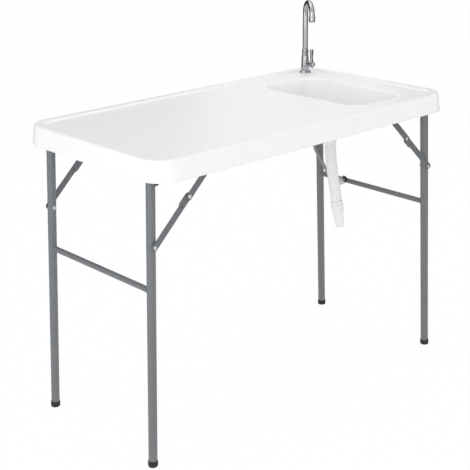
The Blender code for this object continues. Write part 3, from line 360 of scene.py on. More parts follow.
def bar(name: str, start: Sequence[float], end: Sequence[float], radius: float, sides: int = 48) -> Mesh:
    """A solid round bar from start to end."""
    length = (Vector(end) - Vector(start)).length
    profile = [(0.0, length), (radius, length), (radius, 0.0), (0.0, 0.0)]
    return turned(name, profile, towards(start, end), sides)


def carried_frames(path: Array) -> tuple[Array, Array]:
    """Carries a pair of cross directions along a path without twist.

    Args:
        path: The points of the middle line.

    Returns:
        Two arrays of unit vectors square to the path. Each step turns the pair by the least angle.
    """
    ahead = np.gradient(path, axis=0)
    ahead /= np.linalg.norm(ahead, axis=1, keepdims=True)
    across = [Vector(ahead[0]).orthogonal().normalized()]
    for a, b in zip(ahead[:-1], ahead[1:]):
        step = Vector(a).rotation_difference(Vector(b)) @ across[-1]
        across.append((step - step.dot(Vector(b)) * Vector(b)).normalized())
    first = np.array(across)
    return first, np.cross(ahead, first)


def distance_along(path: Array) -> Array:
    """The length of a path up to each of its points."""
    return np.concatenate([[0.0], np.cumsum(np.linalg.norm(np.diff(path, axis=0), axis=1))])


def smooth_route(route: Sequence[Point], step: float) -> Array:
    """Draws one smooth curve through a route's points.

    Each stretch is a cubic whose ends point along the line between the neighbours on either side.

    Args:
        route: The points that the curve passes through.
        step: About how far apart the results are.

    Returns:
        Evenly spaced points.
    """
    knots = np.array(route, dtype=float)
    slope = np.empty_like(knots)
    slope[1:-1] = (knots[2:] - knots[:-2]) / 2
    slope[0], slope[-1] = (knots[1] - knots[0]) / 2, (knots[-1] - knots[-2]) / 2
    s = np.linspace(0, 1, 40, endpoint=False)[None, :, None]
    a, b, u, v = knots[:-1, None], knots[1:, None], slope[:-1, None], slope[1:, None]
    dense = (2 * s**3 - 3 * s**2 + 1) * a + (s**3 - 2 * s**2 + s) * u + (3 * s**2 - 2 * s**3) * b
    dense = np.vstack([(dense + (s**3 - s**2) * v).reshape(-1, 3), knots[-1]])
    run = distance_along(dense)
    even = np.linspace(0, run[-1], max(2, round(run[-1] / step)) + 1)
    return np.stack([np.interp(even, run, dense[:, k]) for k in range(3)], axis=-1)


def hollow_sweep(name: str, path: Array, outer: Array | float, inner: float, sides: int) -> Mesh:
    """A tube along a path, with its bore: the outer rings forward, then the inner rings back.

    Each ring is centre + r (cos t across + sin t other). Its last point repeats the first, so that the
    UV map has its seam.

    Args:
        name: The mesh's name.
        path: The middle line.
        outer: The outer radius, at each point or all along.
        inner: The bore's radius.
        sides: Points round the tube.

    Returns:
        A closed mesh whose UV map runs once round and in metres along.
    """
    first, second = carried_frames(path)
    angle, run = np.linspace(0, 2 * math.pi, sides + 1), distance_along(path)
    spoke = np.cos(angle)[None, :, None] * first[:, None] + np.sin(angle)[None, :, None] * second[:, None]
    rings = [path[:, None] + np.broadcast_to(r, len(path))[:, None, None] * spoke for r in (outer, inner)]
    along = np.concatenate([run, run[::-1]])
    mapped = np.stack(np.broadcast_arrays(np.linspace(0, 1, sides + 1)[None, :], along[:, None]), axis=-1)
    rows = np.concatenate([rings[0], rings[1][::-1]])
    return surface(name, rows, wrap_rows=True, wrap_columns=False, mapped=mapped)


def inset_outline(outline: Array, inset: float) -> Array:
    """Moves each side of a closed anticlockwise outline inward, mitred at the corners.

    Args:
        outline: Points by two.
        inset: How far inward.

    Returns:
        The points, each moved by inset (n + m) / (1 + n m) for the normals n and m of its two sides.
    """
    ahead = np.roll(outline, -1, axis=0) - outline
    ahead /= np.linalg.norm(ahead, axis=1, keepdims=True)
    normal = np.stack([-ahead[:, 1], ahead[:, 0]], axis=-1)
    before = np.roll(normal, 1, axis=0)
    spread = np.maximum(1 + (normal * before).sum(1, keepdims=True), 0.3)
    return outline + inset * (normal + before) / spread


def stacked(name: str, slices: Iterable[tuple[Array, float]], matrix: Matrix = Matrix()) -> Mesh:
    """A solid through flat outlines, each at its own height, closed by its first and last."""
    rows = [np.column_stack([outline, np.full(len(outline), z)]) for outline, z in slices]
    return surface(name, moved(np.array(rows), matrix), caps=True)


def plate(
    name: str, outline: Sequence[Corner], thickness: float, matrix: Matrix, edge: float = 0.0003
) -> Mesh:
    """A flat plate with eased edges: the outline drawn in near both faces.

    Args:
        name: The mesh's name.
        outline: Points round the plate, either way round.
        thickness: Along local Z, half each way.
        matrix: Places the plate.
        edge: The size of the eased edge.

    Returns:
        The mesh.
    """
    points = np.array(outline, dtype=float)
    x, y = points.T
    if (x * np.roll(y, -1) - np.roll(x, -1) * y).sum() < 0:
        points = points[::-1]
    half = thickness / 2
    stations = [(edge, -half), (0.3 * edge, -half + 0.3 * edge), (0.0, -half + edge)]
    stations += [(inset, -z) for inset, z in reversed(stations)]
    return stacked(name, [(inset_outline(points, inset), z) for inset, z in stations], matrix)


def rounded_outline(half_x: float, half_y: float, radius: float, steps: int = 8) -> list[Corner]:
    """Points round a rectangle with rounded corners, anticlockwise.

    Args:
        half_x: Half its length.
        half_y: Half its width.
        radius: Its corners' radius.
        steps: Pieces in each corner.

    Returns:
        The points, each a corner's centre + radius (cos t, sin t).
    """
    turn = np.repeat(np.arange(4), steps + 1)
    angle = math.pi / 2 * (turn + np.tile(np.linspace(0, 1, steps + 1), 4))
    x = np.array([1, -1, -1, 1])[turn] * (half_x - radius) + radius * np.cos(angle)
    y = np.array([1, 1, -1, -1])[turn] * (half_y - radius) + radius * np.sin(angle)
    return pairs(x, y)


def joined(name: str, meshes: Iterable[Mesh]) -> Mesh:
    """Makes one mesh from several that don't touch.

    Args:
        name: The new mesh's name.
        meshes: The parts, which are removed.

    Returns:
        The new mesh.
    """
    shape, whole = bmesh.new(), bpy.data.meshes.new(name)
    for mesh in meshes:
        shape.from_mesh(mesh)
        bpy.data.meshes.remove(mesh)
    shape.to_mesh(whole)
    shape.free()
    return whole


class Carving(Enum):
    """What one mesh does to another, in the modifier's words."""

    CUT = "DIFFERENCE"
    ADD = "UNION"


def carved(mesh: Mesh, other: Mesh, carving: Carving = Carving.CUT) -> Mesh:
    """Cuts one mesh with another, or joins it to the other.

    Args:
        mesh: The mesh to change. It is replaced.
        other: The cutter or addition. It is removed.
        carving: Which of the two.

    Returns:
        The new mesh, under the first one's name.
    """
    name = mesh.name
    pair = [linked(f"{name}_work", mesh), linked(f"{name}_cutter", other)]
    step = pair[0].modifiers.new("Cut", "BOOLEAN")
    step.operation, step.object, step.solver = carving.value, pair[1], "EXACT"
    result = bpy.data.meshes.new_from_object(pair[0].evaluated_get(bpy.context.evaluated_depsgraph_get()))
    for item, data in zip(pair, (mesh, other)):
        bpy.data.objects.remove(item, do_unlink=True)
        bpy.data.meshes.remove(data)
    result.name = name
    result.materials.clear()
    return close_and_face_out(result)


# Finishes ----------------


class Tree:
    """Adds and wires the nodes of one material, world or node group."""

    def __init__(self, tree: bpy.types.NodeTree) -> None:
        """Starts on a tree."""
        self.tree = tree

    def feed(self, node: bpy.types.Node, inputs: dict[Any, Any]) -> bpy.types.Node:
        """Feeds a node.

        Args:
            node: The node.
            inputs: For each input's name or number, a value or the socket that feeds it.

        Returns:
            The node.
        """
        for key, value in inputs.items():
            if isinstance(value, Socket):
                self.tree.links.new(value, node.inputs[key])
            else:
                node.inputs[key].default_value = value
        return node

    def node(self, kind: str, inputs: dict[Any, Any] | None = None, **settings: Any) -> bpy.types.Node:
        """Adds a node.

        Args:
            kind: Blender's name of the node.
            inputs: What feeds it, as in feed.
            **settings: The node's own settings.

        Returns:
            The node.
        """
        made = self.tree.nodes.new(kind)
        for key, value in settings.items():
            setattr(made, key, value)
        return self.feed(made, inputs or {})

    @property
    def place(self) -> Socket:
        """The place on the piece, in Object coordinates."""
        return self.node("ShaderNodeTexCoord").outputs["Object"]

    def math(self, operation: str, a: Any, b: Any = 0.0, clamp: bool = False) -> Socket:
        """A sum, product or other step on two numbers."""
        return self.node("ShaderNodeMath", {0: a, 1: b}, operation=operation, use_clamp=clamp).outputs[0]

    def ramp(
        self, value: Any, low: float, high: float, to_low: float = 0.0, to_high: float = 1.0
    ) -> Socket:
        """Maps low..high to to_low..to_high, held at both ends."""
        inputs = {"Value": value, "From Min": low, "From Max": high, "To Min": to_low, "To Max": to_high}
        return self.node("ShaderNodeMapRange", inputs).outputs["Result"]

    def noise(self, scale: Any, detail: float = 3.0, stretch: Point | None = None) -> Socket:
        """Adds soft noise on Object coordinates.

        Args:
            scale: How fine it is.
            detail: How many finer layers lie over it.
            stretch: How many times finer it is along each axis.

        Returns:
            Its value.
        """
        where = self.place
        if stretch:
            where = self.node("ShaderNodeMapping", {"Vector": where, "Scale": stretch}).outputs[0]
        inputs = {"Vector": where, "Scale": scale, "Detail": detail}
        return self.node("ShaderNodeTexNoise", inputs).outputs[0]

    def blend(self, share: Any, a: Any, b: Any) -> Socket:
        """A colour between a and b."""
        return self.node("ShaderNodeMix", {0: share, 6: a, 7: b}, data_type="RGBA").outputs[2]

    def effect(self, group: bpy.types.NodeTree, **inputs: float) -> Any:
        """Places a group with its own values, and gives its outputs."""
        return self.node("ShaderNodeGroup", inputs, node_tree=group).outputs


class Paint(Tree):
    """The tree of a new material, with its usual shader."""

    def __init__(self, name: str) -> None:
        """Makes the material."""
        self.material = bpy.data.materials.new(name)
        self.material.use_nodes = True
        super().__init__(self.material.node_tree)
        self.shader = self.tree.nodes["Principled BSDF"]


class Group(Tree):
    """A shader node group with float sockets."""

    def __init__(
        self,
        name: str,
        inputs: dict[str, float],
        outputs: Sequence[str],
        build: Callable[[Group], dict[str, Socket]],
    ) -> None:
        """Makes and fills the group.

        Args:
            name: The group's name.
            inputs: Its inputs and their defaults.
            outputs: Its outputs' names.
            build: Adds the nodes, and gives what feeds each output.
        """
        super().__init__(bpy.data.node_groups.new(name, "ShaderNodeTree"))
        face, kind = self.tree.interface, "NodeSocketFloat"
        for word, value in inputs.items():
            face.new_socket(name=word, in_out="INPUT", socket_type=kind).default_value = value
        for word in outputs:
            face.new_socket(name=word, in_out="OUTPUT", socket_type=kind)
        self.given = self.node("NodeGroupInput").outputs
        self.feed(self.node("NodeGroupOutput"), build(self))


def build_mould_grain(group: Group) -> dict[str, Socket]:
    """The fine pebble of a blow-moulded skin: cells, plus a slow waviness from shrinkage."""
    inputs = {"Vector": group.place, "Scale": group.given["Scale"]}
    cells = group.node("ShaderNodeTexVoronoi", inputs, feature="SMOOTH_F1").outputs["Distance"]
    sink = group.math("MULTIPLY", group.noise(9.0, 2.0), group.given["Waviness"])
    return {"Height": group.math("ADD", cells, sink)}


def build_scuffs(group: Group) -> dict[str, Socket]:
    """Handling marks: long thin streaks, shown only in patches."""
    streaks = group.ramp(group.noise(group.given["Scale"], 5.0, (1.0, 14.0, 6.0)), 0.60, 0.70)
    mask = group.math("MULTIPLY", streaks, group.ramp(group.noise(7.0, 2.0), 0.45, 0.62))
    return {"Mask": group.math("MULTIPLY", mask, group.given["Amount"], clamp=True)}


def build_soiling(group: Group) -> dict[str, Socket]:
    """Dust that thins out with height above the floor, broken up by noise."""
    z = group.node("ShaderNodeSeparateXYZ", {0: group.place}).outputs[2]
    low = group.math("SUBTRACT", 1.0, group.math("DIVIDE", z, group.given["Height"]), clamp=True)
    dust = group.math("MULTIPLY", low, group.ramp(group.noise(160.0, 4.0), 0.35, 0.7))
    return {"Mask": group.math("MULTIPLY", dust, group.given["Amount"], clamp=True)}


def build_peel(group: Group) -> dict[str, Socket]:
    """The orange peel of a stoved powder coat: two sizes of soft noise."""
    coarse, fine = group.noise(group.given["Scale"], 1.0), group.noise(2600.0, 2.0)
    return {"Height": group.math("ADD", coarse, group.math("MULTIPLY", fine, 0.35))}


def build_brushing(group: Group) -> dict[str, Socket]:
    """Polishing lines: noise that is fine along Z and drawn out round the piece."""
    return {"Height": group.noise(group.given["Scale"], 3.0, (1.0, 1.0, 26.0))}


def build_weave(group: Group) -> dict[str, Socket]:
    """Braid: two sets of wires wound in opposite directions, over and under by turns.

    Each set is a sine across (around +/- along), and the sign of their product says which is on top.

    Args:
        group: The group.

    Returns:
        The crowns' height, and which set is on top.
    """
    mapped = group.node("ShaderNodeUVMap", uv_map="along").outputs[0]
    place = group.node("ShaderNodeSeparateXYZ", {0: mapped}).outputs
    around = group.math("MULTIPLY", place[0], group.given["Strands"])
    along = group.math("MULTIPLY", place[1], group.given["Turns"])
    waves = []
    for operation in ("ADD", "SUBTRACT"):
        phase = group.math("MULTIPLY", group.math(operation, around, along), 2 * math.pi)
        waves.append(group.math("SINE", phase))
    product = group.math("MULTIPLY", *waves)
    crown = group.math("SUBTRACT", 1.0, group.math("POWER", group.math("ABSOLUTE", product), 0.6))
    return {"Height": group.ramp(crown, 0.0, 1.0), "Set": group.ramp(product, -0.6, 0.6)}


class Effect(Enum):
    """The shared node groups: each one's name, inputs with their defaults, outputs and builder."""

    GRAIN = ("mould_grain", {"Scale": 900.0, "Waviness": 0.4}, ["Height"], build_mould_grain)
    SCUFFS = ("handling_scuffs", {"Scale": 30.0, "Amount": 0.5}, ["Mask"], build_scuffs)
    SOILING = ("floor_soiling", {"Height": 0.1, "Amount": 0.5}, ["Mask"], build_soiling)
    PEEL = ("powder_peel", {"Scale": 900.0}, ["Height"], build_peel)
    BRUSHING = ("polishing_lines", {"Scale": 120.0}, ["Height"], build_brushing)
    WEAVE = ("wire_weave", {"Strands": 12.0, "Turns": 240.0}, ["Height", "Set"], build_weave)


Groups = dict[Effect, bpy.types.NodeTree]


def srgb(text: str) -> tuple[float, ...]:
    """Turns a colour such as 7A7D81 into the linear values that a shader takes."""
    values = np.array([int(text[i : i + 2], 16) for i in (0, 2, 4)]) / 255
    return (*np.where(values <= 0.04045, values / 12.92, ((values + 0.055) / 1.055) ** 2.4).tolist(), 1.0)


@dataclass(frozen=True)
class Finish:
    """One surface finish: a base colour with a second one worn or soiled into it.

    Height is the effect that gives the fine relief, and relief is its depth in metres.
    """

    slot: str
    colour: str
    mark: str
    rough: float
    rough_mark: float
    metallic: float
    height: Effect
    height_scale: float
    relief: float
    scuffs: float
    soil_amount: float = 0.0
    soil: str = "8D8674"
    soil_height: float = 0.06
    cloud_scale: float = 24.0
    cloud_amount: float = 0.3
    bump_strength: float = 0.6

    def material(self, groups: Groups) -> bpy.types.Material:
        """Builds the material.

        Args:
            groups: The shared node groups.

        Returns:
            A material named after its slot.
        """
        paint = Paint(f"{self.slot}_finish")
        cloud = paint.ramp(paint.noise(self.cloud_scale), 0.4, 0.75, 0.0, self.cloud_amount)
        scuffs = paint.effect(groups[Effect.SCUFFS], Amount=self.scuffs)
        marks = paint.math("ADD", scuffs["Mask"], cloud, clamp=True)
        colour = paint.blend(marks, srgb(self.colour), srgb(self.mark))
        if self.soil_amount:
            soil = paint.effect(groups[Effect.SOILING], Height=self.soil_height, Amount=self.soil_amount)
            colour = paint.blend(soil["Mask"], colour, srgb(self.soil))
        height = paint.effect(groups[self.height], Scale=self.height_scale)["Height"]
        inputs = {"Height": height, "Strength": self.bump_strength, "Distance": self.relief}
        normal = paint.node("ShaderNodeBump", inputs).outputs[0]
        rough = paint.ramp(marks, 0.0, 1.0, self.rough, self.rough_mark)
        look = {"Base Color": colour, "Roughness": rough, "Normal": normal, "Metallic": self.metallic}
        paint.feed(paint.shader, look)
        return paint.material


@dataclass(frozen=True)
class BraidFinish:
    """Woven steel wire over a hose, coloured and raised by the hose's own UV map, with painted shade in the
    gaps and on the lower set of wires.
    """

    slot: str = "braid"
    light: str = "C9CACB"
    # The dark colour is painted shade in the gaps between the wires, not a second metal.
    dark: str = "77797B"
    relief: float = 0.0004
    metallic: float = 0.85

    def material(self, groups: Groups) -> bpy.types.Material:
        """Builds the material, with the wires' crowns light and painted shade in the gaps between them and
        on the set that lies under.

        Args:
            groups: The shared node groups.

        Returns:
            A material named after its slot.
        """
        paint = Paint(f"{self.slot}_finish")
        weave = paint.effect(groups[Effect.WEAVE])
        height = weave["Height"]
        # Painted shade: the colour darkens down each wire into the gaps, and by a fifth on the set
        # underneath.
        painted_gap_shade = paint.math("MULTIPLY", height, paint.ramp(weave["Set"], 0, 1, 0.8, 1.0))
        look = {
            "Base Color": paint.blend(painted_gap_shade, srgb(self.dark), srgb(self.light)),
            "Roughness": paint.ramp(height, 0, 1, 0.55, 0.28),
            "Normal": paint.node("ShaderNodeBump", {"Height": height, "Distance": self.relief}).outputs[0],
            "Metallic": self.metallic,
        }
        paint.feed(paint.shader, look)
        return paint.material


FINISHES: tuple[Finish | BraidFinish, ...] = (
    Finish("moulded_top", "EFEFF0", "E9E9E9", 0.42, 0.56, 0.0, Effect.GRAIN, 700.0, 0.00010, 0.5),
    Finish("frame_steel", "6B6E72", "75787B", 0.44, 0.55, 0.0, Effect.PEEL, 700.0, 0.00006, 0.5, 0.3),
    Finish("link_steel", "65686C", "777A7D", 0.42, 0.52, 0.15, Effect.PEEL, 800.0, 0.00005, 0.7),
    Finish("zinc", "C9C9C6", "A9A9A6", 0.30, 0.44, 1.0, Effect.PEEL, 1200.0, 0.00003, 0.3),
    Finish("foot_plastic", "0B0C0E", "151617", 0.60, 0.75, 0.0, Effect.GRAIN, 1500.0, 0.00008, 0.5, 0.12),
    Finish("chrome", "B4B5B8", "AAABAE", 0.07, 0.12, 1.0, Effect.BRUSHING, 120.0, 0.000003, 0.2),
    Finish("white_plastic", "ECECEB", "E2E1DE", 0.38, 0.50, 0.0, Effect.GRAIN, 1400.0, 0.00004, 0.3),
    # The rubber finish also darkens the thin ring at the tap's mouth, which is painted shadow.
    Finish("rubber", "1E1E1F", "333334", 0.68, 0.80, 0.0, Effect.GRAIN, 1600.0, 0.00006, 0.3),
    BraidFinish(),
)


@dataclass
class Assembly:
    """A sub-assembly, whose pieces wear the materials of their slots."""

    materials: dict[str, bpy.types.Material]

    @property
    def body(self) -> str:
        """The body that its pieces ride on, apart from those that name another."""
        return "tabletop"

    def fit(
        self, mesh: Mesh, slot: str, *nodes: str, body: str = "", weighted: bool = False
    ) -> bpy.types.Object:
        """Puts a piece on its body, in its finish.

        Args:
            mesh: The piece's mesh, already in place.
            slot: The record's material slot.
            *nodes: The CAD nodes that it stands for.
            body: The body that it rides on, where it isn't the sub-assembly's own.
            weighted: Whether broad flat faces should set the shading of their edges.

        Returns:
            The piece.
        """
        piece = linked(mesh.name, mesh)
        mesh.materials.append(self.materials[slot])
        if weighted:
            piece.modifiers.new("Even shading", "WEIGHTED_NORMAL").keep_sharp = True
        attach(piece, body or self.body)
        if nodes:
            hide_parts(*nodes)
        LOG.info("%s: %d faces on %s", piece.name, len(mesh.polygons), body or self.body)
        return piece

    def build(self) -> None:
        """Builds and dresses every piece."""
        raise NotImplementedError


# The moulded top ----------------


@dataclass
class TopMoulding(Assembly):
    """The blow-moulded top and its basin, as one closed skin.

    The skin is a stack of loops, from the drain hole's upper edge up the basin, over the deck and the
    rim, down the apron, in along the underside and back down the outside of the basin. Each loop is a
    rounded rectangle: half sizes, corner radius, height and middle.
    """

    length: float = 1.124
    width: float = 0.594
    shift: float = -0.004
    flare: float = 0.006
    corner: float = 0.075
    inner_corner: float = 0.030
    least_corner: float = 0.006
    rim_width: float = 0.034
    rim_ease: float = 0.002
    rim_slope: float = 0.0045
    rim_crest: float = 0.0035
    apron_z: float = 0.793
    apron_wall: float = 0.020
    apron_r: float = 0.003
    apron_inner_r: float = 0.0015
    apron_margin: float = 0.005
    basin_half_x: float = 0.114
    basin_half_y: float = 0.1985
    basin_corner: float = 0.062
    lip: float = 0.006
    lip_r: float = 0.012
    draft: float = 0.007
    floor_r: float = 0.020
    floor_margin: float = 0.003
    drain_hole: float = 0.0200
    hole_edge: float = 0.0006
    hole_margin: float = 0.002
    groove_inset: float = 0.040
    groove_r: float = 0.005
    groove_drop: float = 0.0018
    groove_margin: float = 0.007
    edge_r: float = 0.007
    edge_margin: float = 0.001
    scallop_r: float = 0.016
    scallop_depth: float = 0.006
    scallop_dome: float = 0.004
    scallop_ends: Corner = (0.006, 0.004)
    pitch: float = 0.062
    pit: float = 0.013
    pit_depth: float = 0.008
    dash: Point = (0.024, 0.0045, 0.0035)
    tap_clearance: float = 0.0274
    wall_clearance: float = 0.02
    tap_hole: float = 0.0107
    corner_steps: int = 14
    side_steps: tuple[int, int] = (16, 30)
    rows: list[tuple[float, ...]] = field(default_factory=list)

    @property
    def foot(self) -> float:
        """How far the basin's wall, with its fillet, stands in from the opening."""
        return self.lip + self.draft + self.floor_r

    def outer(self, inset: float, z: float, under: bool = False) -> None:
        """Adds a loop of the table's outline, drawn in. The underside's corners tighten faster.

        Args:
            inset: How far it is drawn in.
            z: Its height.
            under: Whether it lies inside the apron.
        """
        tighten = (self.corner - self.inner_corner) / self.apron_wall if under else 1.0
        radius = max(self.corner - tighten * inset, self.least_corner)
        self.rows.append((self.length / 2 - inset, self.width / 2 - inset, radius, z, self.shift, 0.0))

    def inner(self, inset: float, z: float) -> None:
        """Adds a loop of the basin's outline, drawn in by inset."""
        radius = max(self.basin_corner - inset, self.least_corner)
        self.rows.append((self.basin_half_x - inset, self.basin_half_y - inset, radius, z, *LAYOUT.drain))

    def hole(self, radius: float, z: float) -> None:
        """Adds a round loop about the drain."""
        self.rows.append((radius, radius, radius, z, *LAYOUT.drain))

    def add_basin_inside(self) -> None:
        """From the drain up the floor, the floor's fillet, the leaning wall and the rounded lip.

        The fillet is a quarter circle: inset = foot - R sin t, z = floor + R (1 - cos t).
        """
        floor, r, hole = LAYOUT.basin_floor_z, self.floor_r, self.drain_hole
        self.hole(hole, floor - self.hole_edge)
        self.hole(hole + self.hole_edge, floor)
        self.hole(hole + self.hole_margin, floor)
        self.inner(self.foot + self.floor_margin, floor)
        for sine, cosine in quarter(11):
            self.inner(self.foot - r * sine, floor + r * (1 - cosine))
        low, high = floor + r, LAYOUT.field_z - self.lip_r
        for s in (0.06, 0.94):
            self.inner(self.lip + self.draft * (1 - s), low + s * (high - low))
        for sine, cosine in quarter(9):
            self.inner(self.lip - self.lip_r * (1 - cosine), high + self.lip_r * sine)

    def add_deck_and_rim(self) -> None:
        """Across the field, through the drip groove, up the rim and round its edge.

        The groove is a shallow arc: inset = middle + r sin t, z = centre - r cos t. The rim's foot is
        a smooth step, 3 s^2 - 2 s^3.
        """
        field_z, rim_z, middle, r = LAYOUT.field_z, LAYOUT.rim_z, self.groove_inset, self.groove_r
        self.inner(self.lip - self.lip_r - self.rim_ease, field_z)
        self.outer(middle + self.groove_margin, field_z)
        reach, centre = math.acos(1 - self.groove_drop / r), field_z - self.groove_drop + r
        for t in np.linspace(reach, -reach, 9):
            self.outer(middle + r * math.sin(t), centre - r * math.cos(t))
        for s in np.linspace(0, 1, 8):
            rise = (rim_z - field_z) * (3 * s * s - 2 * s**3)
            self.outer(self.rim_width + self.rim_ease - self.rim_slope * s, field_z + rise)
        self.outer(self.rim_width - self.rim_crest, rim_z)
        self.outer(self.flare + self.edge_r + self.edge_margin, rim_z)
        for sine, cosine in quarter(10):
            self.outer(self.flare + self.edge_r * (1 - sine), rim_z - self.edge_r * (1 - cosine))

    def add_apron(self) -> None:
        """Down the leaning outside, round the bottom edge, and up the inside to the deck's underside."""
        low, under, wall = self.apron_z, LAYOUT.underside_z, self.apron_wall
        for s in (0.98, 0.07):
            self.outer(self.flare * s, low + (LAYOUT.rim_z - self.edge_r - low) * s)
        r, inner_r = self.apron_r, self.apron_inner_r
        for sine, cosine in quarter(6):
            self.outer(r * (1 - cosine), low + r * (1 - sine), under=True)
        for sine, cosine in quarter(4):
            self.outer(wall - inner_r * (1 - sine), low + inner_r * (1 - cosine), under=True)
        for sine, cosine in quarter(5):
            self.outer(wall + r * (1 - cosine), under - r * (1 - sine), under=True)

    def add_basin_outside(self) -> None:
        """In along the underside, and down the basin's outer wall to the drain hole.

        The outer fillet has the inner one's centre and is larger by the wall.
        """
        floor, wall, under = LAYOUT.basin_floor_z, LAYOUT.basin_wall, LAYOUT.underside_z
        r = self.floor_r + wall
        self.outer(self.apron_wall + self.apron_margin, under, under=True)
        for inset, drop in ((-0.004, 0.0), (-0.001, 0.0), (0.0025, 0.0012), (0.0042, 0.004)):
            self.inner(inset, under - drop)
        for sine, cosine in reversed(quarter(9)):
            self.inner(self.foot - r * sine, floor + self.floor_r - r * cosine)
        self.inner(self.foot + self.floor_margin, floor - wall)
        self.hole(self.drain_hole + self.hole_margin, floor - wall)
        self.hole(self.drain_hole, floor - wall)

    def loop_points(self) -> Array:
        """Works out every loop on one set of parameters.

        A point is middle + corner's centre + radius (cos t, sin t). Along a side the corner's centre
        slides between two corners while t stays.

        Returns:
            Loops by points by three.
        """
        slide_x, slide_y, angle = [], [], []
        corners = [(1, -1), (1, 1), (-1, 1), (-1, -1)]
        bend = np.linspace(0, 0.5, self.corner_steps, endpoint=False)
        for i, ((x0, y0), (x1, y1)) in enumerate(zip(corners, corners[1:] + corners[:1])):
            s = np.linspace(0, 1, self.side_steps[i % 2], endpoint=False)
            slide_x += [x0 + (x1 - x0) * s, np.full(len(bend), float(x1))]
            slide_y += [y0 + (y1 - y0) * s, np.full(len(bend), float(y1))]
            angle += [np.full(len(s), i / 2), i / 2 + bend]
        u, v, t = np.concatenate(slide_x), np.concatenate(slide_y), np.concatenate(angle) * math.pi
        half_x, half_y, radius, z, x, y = np.array(self.rows).T[:, :, None]
        px = x + u * (half_x - radius) + radius * np.cos(t)
        py = y + v * (half_y - radius) + radius * np.sin(t)
        return np.stack([px, py, np.broadcast_to(z, px.shape)], axis=-1)

    def places(self, length: float) -> Array:
        """Evenly spaced places a pitch apart, centred on 0, inside a length."""
        count = max(1, int(length // self.pitch))
        return (np.arange(count) - (count - 1) / 2) * self.pitch

    def scallops(self) -> list[Mesh]:
        """Makes the cutters of the upright recesses along the inside of the apron.

        Returns:
            The cutters, each a round bar with a domed top.
        """
        inner_x, inner_y = self.length / 2 - self.apron_wall, self.width / 2 - self.apron_wall
        r, dome, setback = self.scallop_r, self.scallop_dome, self.scallop_r - self.scallop_depth
        low, high = self.apron_z + self.scallop_ends[0], LAYOUT.underside_z - self.scallop_ends[1]
        profile = [(0.0, high), (r - dome, high), (r - 0.3 * dome, high - 0.3 * dome), (r, high - dome)]
        profile += [(r, low), (0.0, low)]
        across, along = self.places(2 * (inner_x - self.corner)), self.places(2 * (inner_y - self.corner))
        spots = [(x, s * (inner_y - setback)) for x in across for s in (-1, 1)]
        spots += [(s * (inner_x - setback), y) for y in along for s in (-1, 1)]
        at = [Matrix.Translation((x + self.shift, y, 0)) for x, y in spots]
        return [turned("scallop", profile, place, 28) for place in at]

    def pits(self) -> list[Mesh]:
        """Makes the cutters of the square pits under the deck, with a shallow dash between each two.

        Returns:
            The cutters. The dashes lie in basket order.
        """
        clear = LAYOUT.basin_wall + self.pit
        clear_x, clear_y = self.basin_half_x + clear, self.basin_half_y + clear
        inner_x, inner_y = self.length - 2 * self.apron_wall, self.width - 2 * self.apron_wall
        (basin_x, basin_y), (tap_x, tap_y), half = LAYOUT.drain, LAYOUT.tap, self.pitch / 2
        long, wide, deep = self.dash
        made = []
        for i, x in enumerate(self.places(inner_x - self.pitch) + self.shift):
            for j, y in enumerate(self.places(inner_y - self.pitch)):
                along, across = (long / 2, wide / 2) if (i + j) % 2 else (wide / 2, long / 2)
                pit, dash = (self.pit / 2, self.pit / 2, self.pit_depth), (along, across, deep)
                for px, py, shape in ((x, y, pit), (x + half, y, dash), (x, y + half, dash)):
                    over_basin = abs(px - basin_x) < clear_x and abs(py - basin_y) < clear_y
                    near_tap = math.hypot(px - tap_x, py - tap_y) < self.tap_clearance
                    reach = abs(px - self.shift) - inner_x / 2, abs(py) - inner_y / 2
                    if not (over_basin or near_tap) and max(reach) < -self.wall_clearance:
                        made.append(self.tapered(px, py, *shape))
        return made

    @staticmethod
    def tapered(x: float, y: float, half_x: float, half_y: float, depth: float) -> Mesh:
        """A cutter that narrows upward: a rounded rectangle from 2 mm under the deck to depth inside it."""
        base = np.array(rounded_outline(half_x, half_y, 0.3 * min(half_x, half_y), 2))
        levels = ((-0.002, 1.0), (0.8 * depth, 0.82), (depth, 0.66))
        return stacked("recess", [(base * share + (x, y), LAYOUT.underside_z + z) for z, share in levels])

    def build(self) -> None:
        """Builds the skin, cuts its holes and recesses, and fits it over the CAD nodes of the moulding."""
        for step in (self.add_basin_inside, self.add_deck_and_rim, self.add_apron, self.add_basin_outside):
            step()
        mesh = surface("top_skin", self.loop_points(), wrap_rows=True)
        low, high = over(LAYOUT.tap, LAYOUT.underside_z - 0.01), over(LAYOUT.tap, LAYOUT.rim_z)
        cutters = [*self.scallops(), *self.pits(), bar("tap_hole", low, high, self.tap_hole)]
        nodes = ("table_top", "apron", "basin_surround", "basin_wall", "basin_bend", "basin_floor")
        self.fit(carved(mesh, joined("recesses", cutters)), "moulded_top", *nodes, weighted=True)


# The leg frames ----------------


